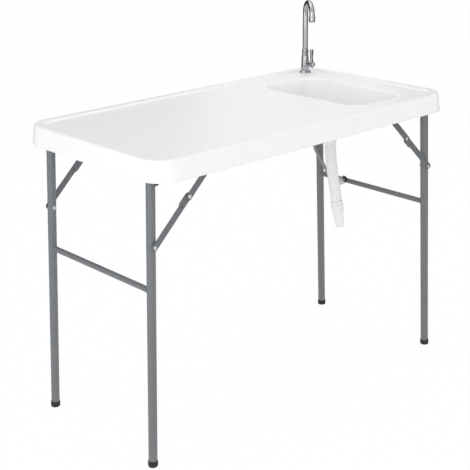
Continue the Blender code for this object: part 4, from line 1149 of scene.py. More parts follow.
@dataclass
class LegFrame(Assembly):
    """One folding frame: pivot bar, two legs, crossbar, foot caps and the welds between them."""

    side: Side
    wall: float = 0.0012
    overhang: float = 0.025
    crossbar_z: float = 0.4927
    foot_r: float = 0.0135
    foot_height: float = 0.0165
    foot_floor: float = 0.0035
    foot_sunk: float = 0.003
    ridges: Point = (0.0055, 0.009, 0.0125)
    rivet_hole: float = 0.0035
    bead_r: float = 0.0013
    bead_ripple: float = 0.00022
    bead_ripples: int = 22

    @property
    def body(self) -> str:
        """The body that the whole frame rides on."""
        return f"{self.side.label}_leg_frame"

    def point(self, end: End, z: float) -> Vector:
        """A point on one leg's axis."""
        return LAYOUT.leg_point(self.side, end, z)

    def weld(self, at: Vector, ahead: Vector) -> Array:
        """A weld bead round a bar: a torus whose thickness ripples, r = R + (b + c sin n t) cos s.

        Args:
            at: The bead's middle.
            ahead: The bar's direction.

        Returns:
            The bead's points.
        """
        t = np.linspace(0, 2 * math.pi, 6 * self.bead_ripples, endpoint=False)[None, :]
        s = np.linspace(0, 2 * math.pi, 10, endpoint=False)[:, None]
        thick = self.bead_r + self.bead_ripple * np.sin(self.bead_ripples * t)
        r = LAYOUT.bar_r + thick * np.cos(s)
        points = np.stack([r * np.cos(t), r * np.sin(t), thick * np.sin(s)], axis=-1)
        return moved(points, towards(at, at + ahead))

    def build_bars(self) -> None:
        """The pivot bar, and the crossbar coped to both legs."""
        pivot_z, label, inner = LAYOUT.pivot_z(self.side), self.side.label, LAYOUT.bar_r - self.wall
        reach = Vector((0, self.overhang, 0))
        low, high = self.point(End.FRONT, pivot_z) - reach, self.point(End.REAR, pivot_z) + reach
        mesh = tube(f"{label}_pivot_bar_tube", low, high, LAYOUT.bar_r, inner, 4 * HAIR)
        self.fit(mesh, "frame_steel", f"{label}_pivot_bar")
        low, high = (self.point(end, self.crossbar_z) for end in End)
        mesh = tube(f"{label}_crossbar_tube", low, high, LAYOUT.bar_r, inner)
        for end in End:
            foot, top = self.point(end, 0.0), self.point(end, pivot_z)
            mesh = carved(mesh, bar("leg_space", foot, top, LAYOUT.leg_r + SEAT_GAP))
        self.fit(mesh, "frame_steel", f"{label}_crossbar")

    def build_leg(self, end: End) -> None:
        """One leg with its rivet hole and coped top, and the bead at its crossbar.

        Args:
            end: Which leg.
        """
        name, leg_r = f"{self.side.label}_{end.label}", LAYOUT.leg_r
        foot, top = self.point(end, 0.0), self.point(end, LAYOUT.pivot_z(self.side))
        up = (top - foot).normalized()
        mesh = tube(f"{name}_leg_tube", foot + up * self.foot_floor / up.z, top, leg_r, leg_r - self.wall)
        across = Vector((0, 2 * leg_r, 0))
        mesh = carved(mesh, bar("bar_space", top - across, top + across, LAYOUT.bar_r + SEAT_GAP))
        rivet = self.point(end, LAYOUT.brace_rivet_z)
        mesh = carved(mesh, bar("rivet_space", rivet - across, rivet + across, self.rivet_hole, 24))
        self.fit(mesh, "frame_steel", f"{name}_leg")
        inward = Vector((0, -end.value, 0))
        joint = self.point(end, self.crossbar_z) + inward * (leg_r + 4 * HAIR)
        self.fit(surface(f"{name}_crossbar_weld", self.weld(joint, inward), wrap_rows=True), "frame_steel")

    def build_foot(self, end: End) -> None:
        """A ribbed cap over the leg's end, turned about the leg and held level at the floor.

        The cap's heights are measured along the leg, and z = max(z, 0) flattens its underside.

        Args:
            end: Which leg.
        """
        name, e = f"{self.side.label}_{end.label}", CHAMFER
        r, bore, high = self.foot_r, LAYOUT.leg_r + SEAT_GAP, self.foot_height
        seat = self.foot_floor - SEAT_GAP
        profile = [(0.0, -self.foot_sunk), (r - 0.0012, -self.foot_sunk), (r - 0.0003, 0.0016), (r, 0.0026)]
        for ridge in self.ridges:
            profile += [(r, ridge - 0.0008), (r - 0.0006, ridge - 0.0004)]
            profile += [(r - 0.0006, ridge + 0.0004), (r, ridge + 0.0008)]
        profile += [(r, high - 2 * e), (r - 0.0004, high - HAIR), (bore + 0.0003, high), (bore, high - e)]
        profile += [(bore, seat), (0.0, seat)]
        points = turned_points(profile, towards(self.point(end, 0.0), self.point(end, 0.2)), 48)
        points[..., 2] = np.maximum(points[..., 2], 0.0)
        self.fit(surface(f"{name}_foot", points), "foot_plastic", f"{name}_foot_cap")

    def build(self) -> None:
        """Builds the whole frame."""
        self.build_bars()
        for end in End:
            self.build_leg(end)
            self.build_foot(end)


# The braces and brackets ----------------


def rivet_head(low: float, radius: float = 0.0058, height: float = 0.0022) -> list[Corner]:
    """A domed head's profile from its middle out to its seat: r = R sin t, z = low + H cos t."""
    t = np.linspace(0, math.pi / 2, 8)
    return pairs(radius * np.sin(t), low + height * (0.15 + 0.85 * np.cos(t))) + [(radius, low)]


def screw(name: str, at: Vector, radius: float, height: float) -> Mesh:
    """A pan-head screw under a flange, with a cross recess.

    Args:
        name: The mesh's name.
        at: The middle of the head's seat.
        radius: The head's radius.
        height: How far the head stands down.

    Returns:
        The mesh.
    """
    mesh = turned(name, rivet_head(0.0, radius, height) + [(0.0, 0.0)], towards(at, at - UP), 28)
    long, wide = 0.55 * radius, 4 * HAIR
    for half_x, half_y in ((long, wide), (wide, long)):
        slot = np.array(rounded_outline(half_x, half_y, 2 * HAIR, 2)) + (at.x, at.y)
        low, high = at.z - height - 0.001, at.z - 0.45 * height
        mesh = carved(mesh, stacked("recess", [(slot, low), (slot, high)]))
    return mesh


@dataclass
class CornerPart(Assembly):
    """What stands at one corner of the table and is screwed up against the deck."""

    side: Side
    end: End

    @property
    def name(self) -> str:
        """The first words of its node names."""
        return f"{self.side.label}_{self.end.label}"

    def add_screws(self, word: str, middle: Vector, reach: float, head: Corner) -> None:
        """Puts two screws under a flange.

        Args:
            word: Names them.
            middle: The point between their seats.
            reach: From there to each.
            head: A head's radius and height.
        """
        for number, x in enumerate((-reach, reach)):
            at = middle + Vector((x, 0, 0))
            self.fit(screw(f"{self.name}_{word}_screw_{number}", at, *head), "zinc")


@dataclass
class Brace(CornerPart):
    """One locking brace: two links, their rivets and the bracket under the deck."""

    width: float = 0.018
    chamfer: float = 0.003
    ear_half: Corner = (0.009, 0.006)
    head_extra: float = 0.004
    head_length: float = 0.038
    tail: float = 0.009
    pin_r: float = 0.003
    shoulder_r: float = 0.005
    stop_hole: float = 0.0026
    stop_from_knuckle: float = 0.033
    plug_share: float = 0.4
    plate: float = 0.0022
    flange_x: float = 0.036
    flange_y: float = 0.014
    screw_x: float = 0.012
    screw_y: float = 0.0092
    screw_head: Corner = (0.0031, 0.0017)
    folded_dip: float = math.radians(3.0)

    @property
    def out(self) -> Vector:
        """The direction across the table, away from its middle."""
        return Vector((0, self.end.value, 0))

    def upper_pivot(self) -> tuple[Vector, float]:
        """Finds the upper pivot, and the upper link's length, from the closed and the folded brace.

        Standing, the brace is straight from the rivet. Folded, the upper link dips a little and the
        lower link still reaches the knuckle. That makes the whole length the root of a quadratic.

        Returns:
            The pivot, with Y of 0, and the length.
        """
        lower = LAYOUT.lower_link
        pivot = LAYOUT.leg_point(self.side, End.REAR, LAYOUT.pivot_z(self.side))
        rivet = LAYOUT.leg_point(self.side, End.REAR, LAYOUT.brace_rivet_z)
        start = Vector((abs(pivot.x) - abs(rivet.x), rivet.z - pivot.z))
        folded = Matrix.Rotation(math.pi / 2 + math.atan(LAYOUT.lean_x), 2) @ start
        rising = Vector((math.cos(LAYOUT.brace_slope), math.sin(LAYOUT.brace_slope)))
        laid = Vector((math.cos(self.folded_dip), -math.sin(self.folded_dip)))
        fixed, growth = start - folded - lower * laid, rising + laid
        square, half = growth.dot(growth), fixed.dot(growth)
        whole = (-half + math.sqrt(half * half - square * (fixed.dot(fixed) - lower**2))) / square
        upper = start + whole * rising
        return Vector((self.side.value * (abs(pivot.x) - upper.x), 0, pivot.z + upper.y)), whole - lower

    def link(self, word: str, length: float, head: float, place: Matrix, holes: Sequence[Corner]) -> None:
        """A stamped link along +X: a round end at its first pivot, a cut end past its second, and holes.

        Args:
            word: Lower or upper.
            length: From pivot to pivot.
            head: How much wider the head is, on one edge.
            place: Puts the first pivot at the origin of a frame with Z across the table.
            holes: Distance along the link and radius of each hole.
        """
        half, cut, end = self.width / 2, self.chamfer, length + self.tail
        points = arc(half, half, math.pi / 2, 1.5 * math.pi, 25)
        points += [(end - cut, -half), (end, -half + cut), (end, half - cut), (end - cut, half)]
        if head:
            start = length - self.head_length
            points += [(length, half + head), (start + 2 * head, half + head), (start, half)]
            points = [(x, self.side.value * self.end.value * y) for x, y in points]
        mesh = plate(f"{self.name}_{word}_link_bar", points, LAYOUT.link_thickness, place, 4 * HAIR)
        for x, radius in holes:
            mesh = carved(mesh, bar("hole", *through(place, 4 * LAYOUT.link_thickness, x), radius, 28))
        self.fit(mesh, "link_steel", f"{self.name}_{word}_link", body=f"{self.name}_{word}_brace")

    def build(self) -> None:
        """Both links, the plug in the lower one's stop hole, the rivets and the bracket."""
        pivot, upper = self.upper_pivot()
        rivet = LAYOUT.leg_point(self.side, self.end, LAYOUT.brace_rivet_z)
        inner_y, outer_y = (LAYOUT.link_y(self.side, self.end, order) for order in (0, 1))
        lower, slope, pin = LAYOUT.lower_link, LAYOUT.brace_slope, self.pin_r + TURNING_GAP
        rise, fall = (Matrix.Rotation(turn, 4, "Z") for turn in (slope, slope + math.pi))
        stop = lower - self.stop_from_knuckle
        place = in_side_plane(self.side, (rivet.x, inner_y, rivet.z)) @ rise
        holes = [(0.0, pin), (lower, pin), (stop, self.stop_hole)]
        self.link("lower", lower, self.head_extra, place, holes)
        ends = through(place, self.plug_share * LAYOUT.link_thickness, stop)
        plug = bar(f"{self.name}_stop_plug", *ends, self.stop_hole - HAIR, 28)
        self.fit(plug, "rubber", body=f"{self.name}_lower_brace")
        place = in_side_plane(self.side, (pivot.x, outer_y, pivot.z)) @ fall
        self.link("upper", upper, 0.0, place, [(0.0, pin), (upper, pin)])
        self.build_leg_rivet(rivet, inner_y)
        knuckle = rivet + lower * Vector((-self.side.value * math.cos(slope), 0, math.sin(slope)))
        half, r = LAYOUT.link_thickness / 2, self.pin_r
        profile = rivet_head(half + SEAT_GAP) + [(r, half + SEAT_GAP), (r, -half), (0.0, -half)]
        at = Vector((knuckle.x, outer_y, knuckle.z))
        mesh = turned(f"{self.name}_knuckle_pin", profile, towards(at, at + self.out), 32)
        self.fit(mesh, "zinc", f"{self.name}_knuckle_rivet", body=f"{self.name}_upper_brace")
        self.build_bracket(pivot, outer_y)

    def build_leg_rivet(self, rivet: Vector, link_y: float) -> None:
        """The rivet through the leg: outer head, shank, shoulder by the link, shank and inner head.

        Args:
            rivet: Its middle, on the leg's axis.
            link_y: The middle plane of the link on it.
        """
        leg, r, wide = LAYOUT.leg_r + SEAT_GAP, self.pin_r, self.shoulder_r
        inner = abs(link_y - rivet.y) - LAYOUT.link_thickness / 2
        outer, shoulder = inner + LAYOUT.link_thickness + SEAT_GAP, inner - SEAT_GAP
        profile = rivet_head(outer) + [(r, outer), (r, shoulder), (wide, shoulder), (wide, leg)]
        profile += [(r, leg), (r, -leg), *((radius, -z) for radius, z in reversed(rivet_head(leg)))]
        mesh = turned(f"{self.name}_leg_pin", profile, towards(rivet, rivet + self.out), 32)
        self.fit(mesh, "zinc", f"{self.name}_leg_rivet", body=f"{self.side.label}_leg_frame")

    def build_bracket(self, pivot: Vector, link_y: float) -> None:
        """An angle bracket with a rounded ear, its pin, and the two screws that hold it.

        Args:
            pivot: The upper pivot.
            link_y: The middle plane of the link on it.
        """
        out, seat_z, thick, half = self.end.value, LAYOUT.seat_z, self.plate, LAYOUT.link_thickness / 2
        ear_y = link_y + out * (half + SEAT_GAP)
        middle = Vector((pivot.x, ear_y + out * self.flange_y / 2, seat_z - thick / 2))
        flange = rounded_outline(self.flange_x / 2, self.flange_y / 2, self.chamfer)
        mesh = plate(f"{self.name}_angle_bracket", flange, thick, Matrix.Translation(middle))
        (wide, deep), top = self.ear_half, seat_z - thick / 2 - pivot.z
        ear = arc(wide, deep, math.pi, 2 * math.pi, 21) + [(wide, top), (-wide, top)]
        outer = Vector((pivot.x, ear_y + out * thick / 2, pivot.z))
        mesh = carved(mesh, plate("ear", ear, thick, in_side_plane(self.side, outer)), Carving.ADD)
        inner = Vector((pivot.x, link_y - out * half, pivot.z))
        mesh = carved(mesh, bar("pin", inner, outer, self.pin_r, 28), Carving.ADD)
        self.fit(mesh, "link_steel", f"{self.name}_brace_bracket", weighted=True)
        middle = Vector((pivot.x, ear_y + out * self.screw_y, seat_z - thick - HAIR))
        self.add_screws("bracket", middle, self.screw_x, self.screw_head)


@dataclass
class PivotBracket(CornerPart):
    """The strap under the deck that one end of a pivot bar turns in."""

    width: float = 0.011
    flange_x: float = 0.036
    wall: float = 0.003
    strap_share: float = 0.6
    from_leg: float = 0.0015
    least_window: float = 0.004
    screw_x: float = 0.0147
    screw_head: Corner = (0.0025, 0.0015)

    def build(self) -> None:
        """Bends the strap round the bar, opens the space above the bar, and adds the two screws."""
        pivot = LAYOUT.leg_point(self.side, self.end, LAYOUT.pivot_z(self.side))
        middle_y = pivot.y + self.end.value * (LAYOUT.leg_r + self.from_leg + self.width / 2)
        hole = LAYOUT.bar_r + TURNING_GAP
        body, top, half = hole + self.strap_share * self.wall, LAYOUT.seat_z - pivot.z, self.flange_x / 2
        flange, low = top - self.wall, hole + self.wall
        outline = [(half, flange), (half, top), (-half, top), (-half, flange), (-body, flange)]
        outline += [*arc(body, body, math.pi, 2 * math.pi, 25), (body, flange)]
        place = in_side_plane(self.side, (pivot.x, middle_y, pivot.z))
        mesh = plate(f"{self.name}_pivot_strap", outline, self.width, place, CHAMFER)
        mesh = carved(mesh, bar("hole", *through(place, 2 * self.width), hole))
        if flange - low > self.least_window:
            window = [(-hole, low), (hole, low), (hole, flange), (-hole, flange)]
            mesh = carved(mesh, plate("window", window, 2 * self.width, place))
        self.fit(mesh, "link_steel", f"{self.name}_pivot_bracket", weighted=True)
        middle = Vector((pivot.x, middle_y, LAYOUT.seat_z - self.wall - HAIR))
        self.add_screws("strap", middle, self.screw_x, self.screw_head)


# The tap ----------------


def nut(
    name: str,
    start: Vector,
    end: Vector,
    corner_r: float,
    bore: float,
    wide: float = 0.0,
    wide_depth: float = 0.0,
) -> Mesh:
    """A six-sided nut with chamfered corners.

    The radius is the lesser of the flat's, apothem / cos(t), and a cone's at each end.

    Args:
        name: The mesh's name.
        start: The middle of its first face.
        end: The middle of its second face.
        corner_r: From the middle to a corner.
        bore: The bore's radius.
        wide: A wider bore's radius, from the second face.
        wide_depth: How deep the wider bore goes.

    Returns:
        The mesh.
    """
    length, sixth = (end - start).length, math.pi / 3
    apothem, step = corner_r * math.cos(sixth / 2), length - wide_depth
    profile = [(corner_r, z) for z in (0.0, 0.0008, 0.0018, length - 0.0018, length - 0.0008, length)]
    profile += [(wide, length), (wide, step), (bore, step)] if wide else [(bore, length)]

    def flats(r: Array, t: Array, z: Array) -> Array:
        """Cuts the outside to six flats and cones its two ends."""
        flat = apothem / np.cos(np.mod(t + sixth / 2, sixth) - sixth / 2)
        cone = apothem + 1.6 * np.minimum(z, length - z)
        return np.where(r > corner_r * 0.999, np.minimum(flat, cone), r)

    return turned(name, [*profile, (bore, 0.0)], towards(start, end), 72, ring=True, swell=flats)


@dataclass
class Tap(Assembly):
    """The swivelling tap in the rear right corner, with its lever and its fixings."""

    flange_r: float = 0.0185
    flange_h: float = 0.007
    flange_step: float = 0.0016
    body_r: float = 0.0125
    body_top_r: float = 0.0102
    body_h: float = 0.058
    body_socket: float = 0.010
    spout_r: float = 0.0085
    spout_wall: float = 0.0012
    bend_r: float = 0.038
    outlet_h: float = 0.175
    aerator_r: float = 0.0104
    aerator_h: float = 0.018
    outlet_r: float = 0.0045
    shadow_ring_h: float = 0.0017
    groove: float = 0.00025
    groove_ends: Corner = (0.0022, 0.0101)
    grooves: int = 30
    collar_r: float = 0.0108
    collar_h: float = 0.009
    valve_h: float = 0.029
    valve_r: float = 0.0080
    valve_reach: float = 0.024
    hub_r: float = 0.0090
    hub_length: float = 0.010
    lever_length: float = 0.050
    lever_foot: float = 0.006
    lever_waist: float = 0.0034
    lever_grip: float = 0.0058
    lever_edge: float = 0.0012
    lever_inset: float = 0.003
    cap_r: float = 0.0080
    cap_dome: Corner = (0.0010, 0.0055)
    ring_r: float = 0.0090
    ring_h: float = 0.0014
    shank_bore: float = 0.0050
    thread_pitch: float = 0.0014
    thread_depth: float = 0.0009
    locknut_r: float = 0.0144
    locknut_h: float = 0.0085

    def place(self, z: float) -> Matrix:
        """The tap's axis, from a height."""
        return Matrix.Translation(over(LAYOUT.tap, z))

    @property
    def body_z(self) -> float:
        """Height of the body's foot, on the flange."""
        return LAYOUT.field_z + 2 * SEAT_GAP + self.flange_h

    def build_body(self) -> None:
        """The flange, and the tapered body with the valve's housing and the foot's grip lines."""
        e, bore, r, h = CHAMFER, LAYOUT.shank_r + TURNING_GAP, self.flange_r, self.flange_h
        step = self.body_r + self.flange_step
        profile = [(r, 0.0), (r, 0.0022), (r - 0.0008, 0.0032), (step + 0.0010, 0.0042), (step, 0.0050)]
        profile += [(step, h - e), (step - e, h), (bore, h), (bore, 0.0)]
        mesh = turned("tap_rose", profile, self.place(LAYOUT.field_z + SEAT_GAP), 64, ring=True)
        self.fit(mesh, "chrome", "tap_flange")
        b, top, high, socket = self.body_r, self.body_top_r, self.body_h, self.body_socket
        profile = [(0.0, high), (top - 0.0006, high), (top, high - 0.0006), (top, 0.80 * high)]
        profile += [(top + 0.0006, 0.79 * high), (top + 0.0009, 0.72 * high), (b - 0.0003, 0.40 * high)]
        profile += [(b, 0.34 * high), (b, 0.0045), (b - e, 0.0040), (b - e, 0.0028), (b, 0.0022)]
        profile += [(b, 0.0004), (b - 0.0004, 0.0), (bore, 0.0), (bore, socket), (0.0, socket)]
        mesh = turned("tap_pillar", profile, self.place(self.body_z), 64)
        axis, v, reach = over(LAYOUT.tap, LAYOUT.field_z + self.valve_h), self.valve_r, self.valve_reach
        profile = [(0.0, reach), (v - e, reach), (v, reach - e), (v, 0.0175), (v - 0.0007, 0.0170)]
        profile += [(v - 0.0007, 0.0158), (v, 0.0153), (v, 0.0), (0.0, 0.0)]
        housing = turned("housing", profile, towards(axis, axis + Vector((0, -reach, 0))))
        self.fit(carved(mesh, housing, Carving.ADD), "chrome", "tap_body")

    def paddle(self) -> list[Corner]:
        """The lever's outline, upright from the hub: straight sides to a waist and out to a round grip.

        Returns:
            The outline.
        """
        grip, waist, foot = self.lever_grip, self.lever_waist, self.lever_foot
        top, rise = self.lever_length - grip, np.linspace(0, 1, 13)
        half = np.interp(rise, (0, 0.5, 1), (foot, waist, grip))
        right = pairs(half, rise * top)
        dome = [(x, top + y) for x, y in arc(grip, grip, 0, math.pi, 17)[1:-1]]
        return right + dome + [(-x, y) for x, y in reversed(right)]

    def build_lever(self) -> None:
        """The hub, the waisted paddle on it, and the domed cap over its screw in a dark ring."""
        e, forward, r, length = CHAMFER, Vector((0, -1, 0)), self.hub_r, self.hub_length
        hub = over(LAYOUT.tap, LAYOUT.field_z + self.valve_h) + forward * (self.valve_reach + SEAT_GAP)
        end = hub + forward * length
        profile = [(0.0, length), (r - e, length), (r, length - e), (r, e), (r - e, 0.0), (0.0, 0.0)]
        mesh = turned("tap_lever_grip", profile, towards(hub, end))
        place = in_side_plane(Side.RIGHT, (hub + end) / 2)
        paddle = plate("paddle", self.paddle(), length - self.lever_inset, place, self.lever_edge)
        self.fit(carved(mesh, paddle, Carving.ADD), "chrome", "tap_lever", body="tap_handle")
        start, c, (low, high) = end + forward * SEAT_GAP, self.cap_r, self.cap_dome
        dome = [(c * sine, low + high * cosine) for sine, cosine in quarter(15)]
        mesh = turned("lever_button", [*dome, (c, 0.0), (0.0, 0.0)], towards(start, start + forward))
        self.fit(mesh, "chrome", "tap_lever", body="tap_handle")
        mesh = tube("lever_button_ring", start, start + forward * self.ring_h, self.ring_r, c + HAIR / 2)
        self.fit(mesh, "rubber", body="tap_handle")

    def spout_path(self) -> Array:
        """Draws the spout's line: up, over in a half circle, and down into the aerator.

        Returns:
            Its points. On the bend they are foot + R (1 - cos t) towards the drain + R sin t up.
        """
        foot, up = np.array([*LAYOUT.tap, 0.0]), np.array([0.0, 0.0, 1.0])
        heading = np.array([*LAYOUT.drain, 0.0]) - foot
        heading /= np.linalg.norm(heading)
        bend_z, t = LAYOUT.field_z + self.outlet_h + self.aerator_h, np.linspace(0, math.pi, 49)[:, None]
        bend = foot + self.bend_r * (1 - np.cos(t)) * heading + (bend_z + self.bend_r * np.sin(t)) * up
        base = self.body_z + self.body_h + SEAT_GAP
        rise = foot + np.linspace(base, bend_z, 12, endpoint=False)[:, None] * up
        drop = bend[-1] - np.linspace(0, self.aerator_h / 2, 4)[1:, None] * up
        return np.vstack([rise, bend, drop])

    def build_spout(self) -> None:
        """The bent pipe, the collar that it turns in, and the ribbed aerator; the dark rubber ring at its
        mouth is painted shadow.
        """
        e, path, bore = CHAMFER, self.spout_path(), self.spout_r + TURNING_GAP
        mesh = hollow_sweep("tap_swan_neck", path, self.spout_r, self.spout_r - self.spout_wall, 48)
        self.fit(mesh, "chrome", "tap_spout", body="spout")
        c, h, base = self.collar_r, self.collar_h, self.body_z + self.body_h + SEAT_GAP
        profile = [(c - e, h), (c, h - e), (c, 0.55 * h), (c - 0.0006, 0.52 * h), (c - 0.0006, 0.42 * h)]
        profile += [(c, 0.39 * h), (c, e), (c - e, 0.0), (bore, 0.0), (bore, h)]
        mesh = turned("spout_gland", profile, self.place(base), 56, ring=True)
        self.fit(mesh, "chrome", "tap_spout", body="spout")
        a, high, step, mouth = self.aerator_r, self.aerator_h, self.aerator_h / 2 - SEAT_GAP, self.outlet_r
        profile = [(a - 2 * e, high), (a, high - 2 * e), (a, 0.012), (a - e, 0.0115), (a - e, 0.0105)]
        profile += [(a, 0.010), (a, 0.0023), (a - e, 0.0018), (a - 4 * e, 0.0018), (a - 4 * e, 0.004)]
        profile += [(mouth, 0.004), (mouth, step), (bore, step), (bore, high)]

        def grip(r: Array, t: Array, z: Array) -> Array:
            """Fine upright grooves on the lower half: r - d (1 + cos n t) / 2."""
            low, high = self.groove_ends
            band = (r > a - HAIR) & (z > low) & (z < high)
            return np.where(band, r - self.groove * (1 + np.cos(self.grooves * t)) / 2, r)

        outlet = Vector(path[-1]) - UP * high / 2
        mesh = turned("tap_nozzle", profile, Matrix.Translation(outlet), 120, ring=True, swell=grip)
        self.fit(mesh, "chrome", "tap_aerator", body="spout")
        # Painted shadow: a thin dark rubber ring at the aerator's foot stands in for the shadow line under
        # its lower rim.
        mesh = tube("tap_mouth", outlet, outlet + UP * self.shadow_ring_h, a - 2 * HAIR, a - 5 * e)
        self.fit(mesh, "rubber", body="spout")

    def build_fixings(self) -> None:
        """The threaded shank and its locknut under the deck.

        The thread is a helix: the radius falls by a share of |frac(z / pitch - t / 2 pi) - 1/2|.
        """
        r, bore = LAYOUT.shank_r, self.shank_bore
        bottom, top = LAYOUT.underside_z - LAYOUT.shank_below, self.body_z + self.body_socket - SEAT_GAP
        profile = [(r, z) for z in np.linspace(bottom, top, 170)] + [(bore, top), (bore, bottom)]

        def thread(r: Array, t: Array, z: Array) -> Array:
            """Cuts the thread and leaves the bore alone."""
            wave = np.abs(np.mod(z / self.thread_pitch - t / (2 * math.pi), 1.0) - 0.5)
            return np.where(r > bore + MERGE, r - self.thread_depth * wave, r)

        mesh = turned("tap_thread", profile, self.place(0.0), 40, ring=True, swell=thread)
        self.fit(mesh, "zinc", "tap_shank")
        low, high = (over(LAYOUT.tap, LAYOUT.seat_z - h) for h in (self.locknut_h, 0.0))
        mesh = nut("tap_backnut", low, high, self.locknut_r, LAYOUT.shank_r + TURNING_GAP)
        self.fit(mesh, "zinc", "tap_locknut")

    def build(self) -> None:
        """Builds the whole tap."""
        for step in (self.build_body, self.build_lever, self.build_spout, self.build_fixings):
            step()


# The hoses ----------------


@dataclass
class Hose(Assembly):
    """A hose that hangs from the table and ends in its own fitting."""

    radius: float = 0.0
    route: tuple[Point, ...] = ()

    def hang(self, hose: bpy.types.Object, path: Array, pieces: list[bpy.types.Object]) -> None:
        """Args:
            hose: The hose. Not used.
            path: Its middle line. Not used.
            pieces: What hangs on its end. Not used.
        """


@dataclass
class SupplyHose(Hose):
    """The braided hose from the tap's shank to its swivel nut."""

    radius: float = 0.0052
    bore: float = 0.0030
    top_nut_r: float = 0.0136
    top_nut_h: float = 0.024
    end_nut_r: float = 0.0132
    end_nut_length: float = 0.022
    washer_r: float = 0.0104
    washer_wide: float = 0.0018
    nut_lip: float = 0.0035
    nut_margin: float = 0.001
    hose_share: float = 0.4
    washer_length: float = 0.004
    route_step: float = 0.0022
    route: tuple[Point, ...] = (
        (0.4780, 0.2320, 0.7780), (0.4780, 0.2320, 0.7600), (0.4790, 0.2290, 0.7380),
        (0.4815, 0.2200, 0.7100), (0.4850, 0.2105, 0.6780), (0.4880, 0.2060, 0.6450),
        (0.4900, 0.2020, 0.6150), (0.4900, 0.1920, 0.5880), (0.4900, 0.1760, 0.5660),
        (0.4900, 0.1580, 0.5450), (0.4900, 0.1420, 0.5250), (0.4900, 0.1270, 0.5070),
        (0.4900, 0.1090, 0.4960), (0.4900, 0.0900, 0.4960), (0.4900, 0.0740, 0.5040),
    )

    def build(self) -> None:
        """Builds the hose, its nuts and its seal."""
        half, bore = self.top_nut_h / 2, self.radius + TURNING_GAP
        high = over(LAYOUT.tap, LAYOUT.underside_z - LAYOUT.shank_below + half)
        low = high - UP * self.top_nut_h
        wide = LAYOUT.shank_r + TURNING_GAP
        mesh = nut("supply_upper_nut", low, high, self.top_nut_r, bore, wide, half + self.nut_margin)
        self.fit(mesh, "zinc", "supply_top_nut")
        path = smooth_route(self.route, self.route_step)
        mesh = hollow_sweep("supply_braid", path, self.radius, self.bore, 28)
        hose = self.fit(mesh, "braid", "supply_hose")
        out, long, washer = Vector(path[-1] - path[-2]).normalized(), self.end_nut_length, self.washer_r
        start = Vector(path[-1]) - out * self.hose_share * long
        end, lip = start + out * long, out * self.nut_lip
        wide, deep = washer + 2 * HAIR, 0.5 * long + self.nut_lip
        mesh = nut("supply_swivel_nut", start, end + lip, self.end_nut_r, bore, wide, deep)
        swivel = self.fit(mesh, "zinc", "supply_end_nut")
        seat = end + out * SEAT_GAP
        far = seat + out * self.washer_length
        mesh = tube("supply_seal", seat, far, washer, washer - self.washer_wide, CHAMFER)
        self.hang(hose, path, [swivel, self.fit(mesh, "rubber", "supply_end_washer")])


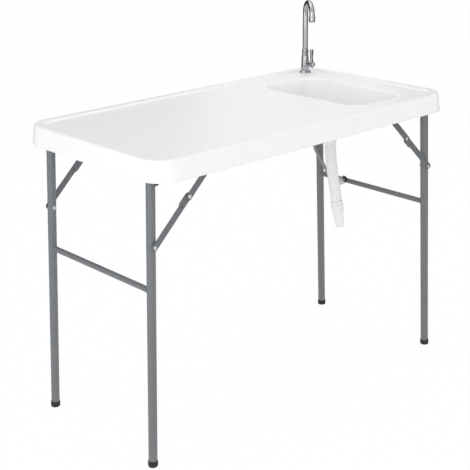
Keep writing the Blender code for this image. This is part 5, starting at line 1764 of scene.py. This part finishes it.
@dataclass
class Drain(Assembly):
    """The drain in the basin's floor: flange with its tail, strainer, nut and collar.

    A ring of holes is their count, their turn in steps, the ring's radius and the holes' radius.
    """

    flange_r: float = 0.0290
    body_r: float = 0.0165
    bore: float = 0.0140
    nut_r: float = 0.0270
    nut_h: float = 0.012
    tail_z: float = 0.7205
    strainer_r: float = 0.0135
    strainer_h: float = 0.002
    hole_rings: tuple[tuple[float, ...], ...] = ((6, 0.0, 0.0062, 0.0019), (12, 0.5, 0.0108, 0.0011))
    collar_r: float = 0.0192
    collar_top: float = 0.724
    collar_bottom: float = 0.676
    collar_cap: float = 0.0035
    rib_ends: Corner = (0.010, 0.008)
    hose_valley: float = 0.01575
    rib_depth: float = 0.0007
    ribs: int = 24

    def holes(self, z: float) -> list[Mesh]:
        """Makes the cutters of the strainer's holes: one in the middle and two rings of them.

        Args:
            z: Height of the strainer's face.

        Returns:
            The cutters.
        """
        spots = [(0.0, 0.0, self.hole_rings[0][3])]
        for count, turn, ring_r, hole_r in self.hole_rings:
            t = (np.arange(count) + turn) * math.pi / (count / 2)
            spots += [(x, y, hole_r) for x, y in pairs(ring_r * np.cos(t), ring_r * np.sin(t))]
        (x0, y0), ends = LAYOUT.drain, (z - 0.005, z + 0.005)
        return [bar("hole", *((x0 + x, y0 + y, end) for end in ends), r, 20) for x, y, r in spots]

    def build(self) -> None:
        """The flange, the strainer, the nut under the floor and the collar."""
        middle, low = Matrix.Translation(over(LAYOUT.drain)), LAYOUT.basin_floor_z + SEAT_GAP
        f, b, bore, r = self.flange_r, self.body_r, self.bore, self.strainer_r
        profile = [(f - 0.006, low + 0.003), (f - 0.003, low + 0.0026), (f - 0.0008, low + 0.0016)]
        profile += [(f, low + 0.0006), (f, low), (b, low), (b, self.tail_z), (bore, self.tail_z)]
        profile += [(bore, low + 0.0022), (bore + 0.0008, low + 0.003)]
        self.fit(turned("drain_rose", profile, middle, 72, ring=True), "white_plastic", "drain_flange")
        h, e = self.strainer_h, 4 * HAIR
        at = low + h
        profile = [(0.0, at), (r - e, at), (r, at - e), (r, at - h), (0.0, at - h)]
        mesh = carved(turned("drain_grid", profile, middle, 56), joined("holes", self.holes(at)))
        self.fit(mesh, "chrome", "drain_strainer", weighted=True)
        high = over(LAYOUT.drain, LAYOUT.basin_floor_z - LAYOUT.basin_wall - SEAT_GAP)
        mesh = nut("drain_backnut", high - UP * self.nut_h, high, self.nut_r, b + TURNING_GAP)
        self.fit(mesh, "white_plastic", "drain_locknut")
        self.build_collar(middle)

    def build_collar(self, middle: Matrix) -> None:
        """The nut over the hose's top, with upright grips round its middle.

        Args:
            middle: The drain's axis, from the floor up.
        """
        c, high, low, e = self.collar_r, self.collar_top, self.collar_bottom, 2 * CHAMFER
        inner, throat, cap = self.hose_valley + e, self.body_r + TURNING_GAP, high - self.collar_cap
        grip_low, grip_high = low + self.rib_ends[0], high - self.rib_ends[1]
        levels = [high - e, grip_high + e, grip_high, grip_low, grip_low - e, low + e]
        profile = [(c - e, high), *[(c, z) for z in levels], (c - e, low), (inner, low)]
        profile += [(inner, cap), (throat, cap), (throat, high)]

        def grips(r: Array, t: Array, z: Array) -> Array:
            """Draws the middle in between the ribs: r - d (1 - cos n t) / 2."""
            band = (r > c - HAIR) & (z > grip_low - HAIR) & (z < grip_high + HAIR)
            return np.where(band, r - self.rib_depth * (1 - np.cos(self.ribs * t)) / 2, r)

        mesh = turned("drain_collar", profile, middle, 144, ring=True, swell=grips)
        self.fit(mesh, "white_plastic", "hose_collar")


@dataclass
class DrainHose(Hose):
    """The ribbed hose under the drain, with its cuff, coupling and tail pipe."""

    radius: float = 0.0175
    valley: float = 0.90
    bore: float = 0.0138
    pitch: float = 0.0048
    plain_top: float = 0.046
    plain_end: float = 0.021
    fade: float = 0.002
    cuff_r: float = 0.0188
    cuff_length: float = 0.011
    cuff_edge: float = 0.0008
    sleeve_gap: float = 0.0006
    coupling_r: float = 0.0198
    coupling_length: float = 0.0225
    slot_depth: float = 0.0008
    slots: int = 18
    slot_bands: tuple[Corner, Corner] = ((0.0010, 0.0060), (0.0135, 0.0195))
    tail_r: float = 0.0145
    tail_top_r: float = 0.0162
    tail_end_r: float = 0.0130
    tail_wall: float = 0.0022
    tail_length: float = 0.059
    tail_in: float = 0.009
    hose_in: float = 0.008
    route: tuple[Point, ...] = (
        (0.3330, -0.0175, 0.7200), (0.3330, -0.0177, 0.6950), (0.3333, -0.0184, 0.6700),
        (0.3340, -0.0200, 0.6400), (0.3350, -0.0230, 0.6100), (0.3368, -0.0275, 0.5800),
        (0.3390, -0.0320, 0.5500), (0.3412, -0.0360, 0.5200), (0.3446, -0.0420, 0.4740),
    )

    def ribbed_radii(self, run: Array) -> Array:
        """Works out the hose's radius along its length: rounded ribs between two plain ends.

        On the ribbed stretch r = R (valley + (1 - valley) sqrt|sin(pi s / pitch)|).

        Args:
            run: The distance along the hose at each point.

        Returns:
            The radius at each point.
        """
        ribs = np.sqrt(np.abs(np.sin(math.pi * run / self.pitch)))
        rise = np.clip((run - self.plain_top) / self.fade, 0, 1)
        fall = np.clip((run[-1] - self.plain_end - run) / self.fade, 0, 1)
        return self.radius * (self.valley + (1 - self.valley) * ribs * (rise * fall))

    def build(self) -> None:
        """Builds the hose and the cuff, the coupling and the tail pipe on its end."""
        path = smooth_route(self.route, self.pitch / 10)
        radii = self.ribbed_radii(distance_along(path))
        mesh = hollow_sweep("drain_hose_ribbed", path, radii, self.bore, 56)
        hose = self.fit(mesh, "white_plastic", "drain_hose")
        out = Vector(path[-1] - path[-8]).normalized()
        sleeve = self.valley * self.radius + self.sleeve_gap
        start = Vector(path[-1]) - out * self.hose_in
        low, high = start - out * (self.cuff_length + SEAT_GAP), start - out * SEAT_GAP
        cuff = tube("hose_grip_ring", low, high, self.cuff_r, sleeve, self.cuff_edge, 64)
        pieces = [self.fit(cuff, "white_plastic", "hose_coupling"), self.build_coupling(start, out, sleeve)]
        end_r, shoulder, end = self.tail_end_r, self.tail_in + SEAT_GAP, self.tail_length
        profile = [(end_r, end), (self.tail_top_r, shoulder), (self.tail_r, shoulder), (self.tail_r, 0.0)]
        profile += [(end_r - self.tail_wall, 0.0), (end_r - self.tail_wall, end)]
        at = start + out * (self.coupling_length - self.tail_in)
        mesh = turned("hose_tail_pipe", eased(profile, CHAMFER), towards(at, at + out), 64, ring=True)
        self.hang(hose, path, [*pieces, self.fit(mesh, "white_plastic", "hose_tail")])

    def build_coupling(self, start: Vector, out: Vector, sleeve: float) -> bpy.types.Object:
        """The coupling, whose two bands carry short grips.

        Args:
            start: The middle of its upper face.
            out: Its direction.
            sleeve: The radius of its socket for the hose.

        Returns:
            The piece.
        """
        c, long, e, in_hose = self.coupling_r, self.coupling_length, CHAMFER, self.hose_in + SEAT_GAP
        throat, step_in = self.tail_r - self.tail_wall, long - self.tail_in - SEAT_GAP
        bore, lower, waist = self.tail_r + TURNING_GAP, c - 2 * e, c - 0.0022
        profile = [(bore, long), (c - 3 * e, long), (lower, long - e), (lower, 0.0190), (lower, 0.0140)]
        profile += [(lower, 0.012), (waist, 0.011), (waist, 0.008), (c, 0.007), (c, 0.0055), (c, 0.0015)]
        profile += [(c - e, 0.0), (sleeve, 0.0), (sleeve, in_hose), (throat, in_hose), (throat, step_in)]

        def grips(r: Array, t: Array, z: Array) -> Array:
            """Sinks short slots into each band, deepest at the band's middle."""
            (a, b), (d, f) = self.slot_bands
            slot = np.clip(3 * np.cos(self.slots * t) - 1.4, 0, 1)
            band = (z > a) & (z < b) | (z > d) & (z < f)
            return np.where((r > lower - 2 * HAIR) & band, r - self.slot_depth * slot, r)

        profile.append((bore, step_in))
        mesh = turned("hose_union", profile, towards(start, start + out), 180, ring=True, swell=grips)
        return self.fit(mesh, "white_plastic", "hose_coupling")


# The studio ----------------


@dataclass(frozen=True)
class Lamp:
    """A soft round lamp: where it hangs, what it points at, its width and its power."""

    name: str
    place: Point
    target: Point
    width: float
    power: float


@dataclass(frozen=True)
class Board:
    """An upright dark board that only reflections see: it draws the dark edges on metal."""

    name: str
    place: Point
    heading: float
    width: float
    height: float


def panel(
    name: str, middle: Point, first: Sequence[float], second: Sequence[float], paint: Paint
) -> bpy.types.Object:
    """Adds a flat rectangle to the studio: middle + s first + t second, for s and t of -1/2 and 1/2.

    Args:
        name: Its name.
        middle: Its middle.
        first: From one side to the other.
        second: From the other pair of sides, one to the other.
        paint: Its material.

    Returns:
        The rectangle.
    """
    s = np.array([-0.5, 0.5])
    points = np.array(middle) + s[:, None, None] * np.array(first) + s[None, :, None] * np.array(second)
    mesh = bpy.data.meshes.new(name)
    mesh.from_pydata(points.reshape(-1, 3), [], grid_faces(2, 2))
    mesh.materials.append(paint.material)
    item = linked(name, mesh)
    return item


@dataclass
class Studio:
    """The pale floor, the light, the boards and the camera at the photograph's place."""

    camera_place: Point = (-2.104, -2.258, 1.5644)
    heading: float = math.radians(-42.24)
    tilt: float = math.radians(90 - 19.745)
    roll: float = math.radians(-0.844)
    lens: float = 84.298
    sensor: float = 36.0
    clip: Corner = (0.05, 60.0)
    world_strength: float = 0.80
    floor_size: float = 60.0
    floor_z: float = -0.0002
    floor_grey: float = 0.88
    floor_rough: float = 0.9
    floor_shown_white: float = 0.985
    board_grey: float = 0.03
    lamps: tuple[Lamp, ...] = (
        Lamp("key", (-2.7, -1.9, 1.4), (0.0, 0.0, 0.7), 2.2, 28.0),
        Lamp("fill", (2.6, -1.6, 1.4), (0.0, 0.0, 0.6), 2.2, 16.0),
        Lamp("top", (0.2, 0.5, 3.2), (0.0, 0.0, 0.8), 2.6, 11.0),
        Lamp("left", (-3.2, 0.6, 1.1), (0.0, 0.0, 0.7), 2.2, 8.0),
    )
    boards: tuple[Board, ...] = (
        Board("board_right", (1.7, -0.35, 1.0), math.radians(90), 2.4, 2.0),
        Board("board_back", (-0.1, 1.45, 1.0), math.radians(0), 2.3, 2.0),
    )

    def build_camera(self) -> None:
        """Puts the camera where it was found to stand."""
        data = bpy.data.cameras.new("camera")
        data.lens, data.sensor_width = self.lens, self.sensor
        data.clip_start, data.clip_end = self.clip
        camera = linked("camera", data)
        turn = Matrix.Rotation(self.heading, 4, "Z") @ Matrix.Rotation(self.tilt, 4, "X")
        turn = turn @ Matrix.Rotation(self.roll, 4, "Z")
        camera.matrix_world = Matrix.Translation(self.camera_place) @ turn
        bpy.context.scene.camera = camera

    def build_world(self) -> None:
        """Even pale light, which the camera and reflections see as white."""
        world = bpy.data.worlds.new("pale_room")
        world.use_nodes = True
        bpy.context.scene.world = world
        tree = Tree(world.node_tree)
        rays = tree.node("ShaderNodeLightPath").outputs
        seen = tree.math("MAXIMUM", rays["Is Camera Ray"], rays["Is Glossy Ray"])
        seen = tree.math("MAXIMUM", seen, rays["Is Transmission Ray"])
        strength = tree.ramp(seen, 0.0, 1.0, self.world_strength, 1.0)
        tree.feed(tree.tree.nodes["Background"], {"Color": WHITE, "Strength": strength})

    def build_floor(self) -> None:
        """A wide floor, almost white with a faint share of the shadows, and clear to a camera below it."""
        paint, grey = Paint("studio_paper"), self.floor_grey
        paint.feed(paint.shader, {"Base Color": (grey, grey, grey, 1.0), "Roughness": self.floor_rough})
        glow = paint.node("ShaderNodeEmission", {"Color": WHITE, "Strength": 1.0}).outputs[0]
        clear = paint.node("ShaderNodeBsdfTransparent").outputs[0]
        rays, back = (paint.node(kind).outputs for kind in ("ShaderNodeLightPath", "ShaderNodeNewGeometry"))
        seen = paint.math("MAXIMUM", rays["Is Camera Ray"], rays["Is Glossy Ray"])
        shown = paint.math("MULTIPLY", seen, self.floor_shown_white)
        below = paint.math("MULTIPLY", rays["Is Camera Ray"], back["Backfacing"])
        look = paint.shader.outputs[0]
        for share, other in ((shown, glow), (below, clear)):
            look = paint.node("ShaderNodeMixShader", {0: share, 1: look, 2: other}).outputs[0]
        paint.feed(paint.tree.nodes["Material Output"], {"Surface": look})
        size = self.floor_size
        panel("studio_floor", (0.0, 0.0, self.floor_z), (0.0, size, 0.0), (size, 0.0, 0.0), paint)

    def build_boards(self) -> None:
        """Stands the dark boards where the camera, the shadows and the soft light miss them."""
        paint, grey = Paint("board_black"), self.board_grey
        paint.feed(paint.shader, {"Base Color": (grey, grey, grey, 1.0)})
        for board in self.boards:
            across = board.width * np.array([math.cos(board.heading), math.sin(board.heading), 0.0])
            item = panel(board.name, board.place, across, (0.0, 0.0, board.height), paint)
            item.visible_camera = item.visible_diffuse = item.visible_shadow = False

    def build(self) -> None:
        """Builds the studio."""
        bpy.context.scene.view_settings.view_transform = "Standard"
        for step in (self.build_camera, self.build_world, self.build_floor, self.build_boards):
            step()
        for lamp in self.lamps:
            data = bpy.data.lights.new(lamp.name, "AREA")
            data.shape, data.size, data.energy = "DISK", lamp.width, lamp.power
            aim = (Vector(lamp.target) - Vector(lamp.place)).to_track_quat("-Z", "Y")
            linked(lamp.name, data).matrix_world = Matrix.Translation(lamp.place) @ aim.to_matrix().to_4x4()


def main() -> None:
    """Builds the studio, the finishes, the hoses and then every sub-assembly of the table."""
    logging.basicConfig(level=logging.INFO, format="%(message)s")
    Studio().build()
    groups = {effect: Group(*effect.value).tree for effect in Effect}
    materials = {finish.slot: finish.material(groups) for finish in FINISHES}
    for kind in (DrainHose, SupplyHose, Tap, Drain, TopMoulding):
        kind(materials).build()
    for side in Side:
        LegFrame(materials, side).build()
        for end in End:
            for kind in (Brace, PivotBracket):
                kind(materials, side, end).build()


if __name__ == "__main__":
    main()
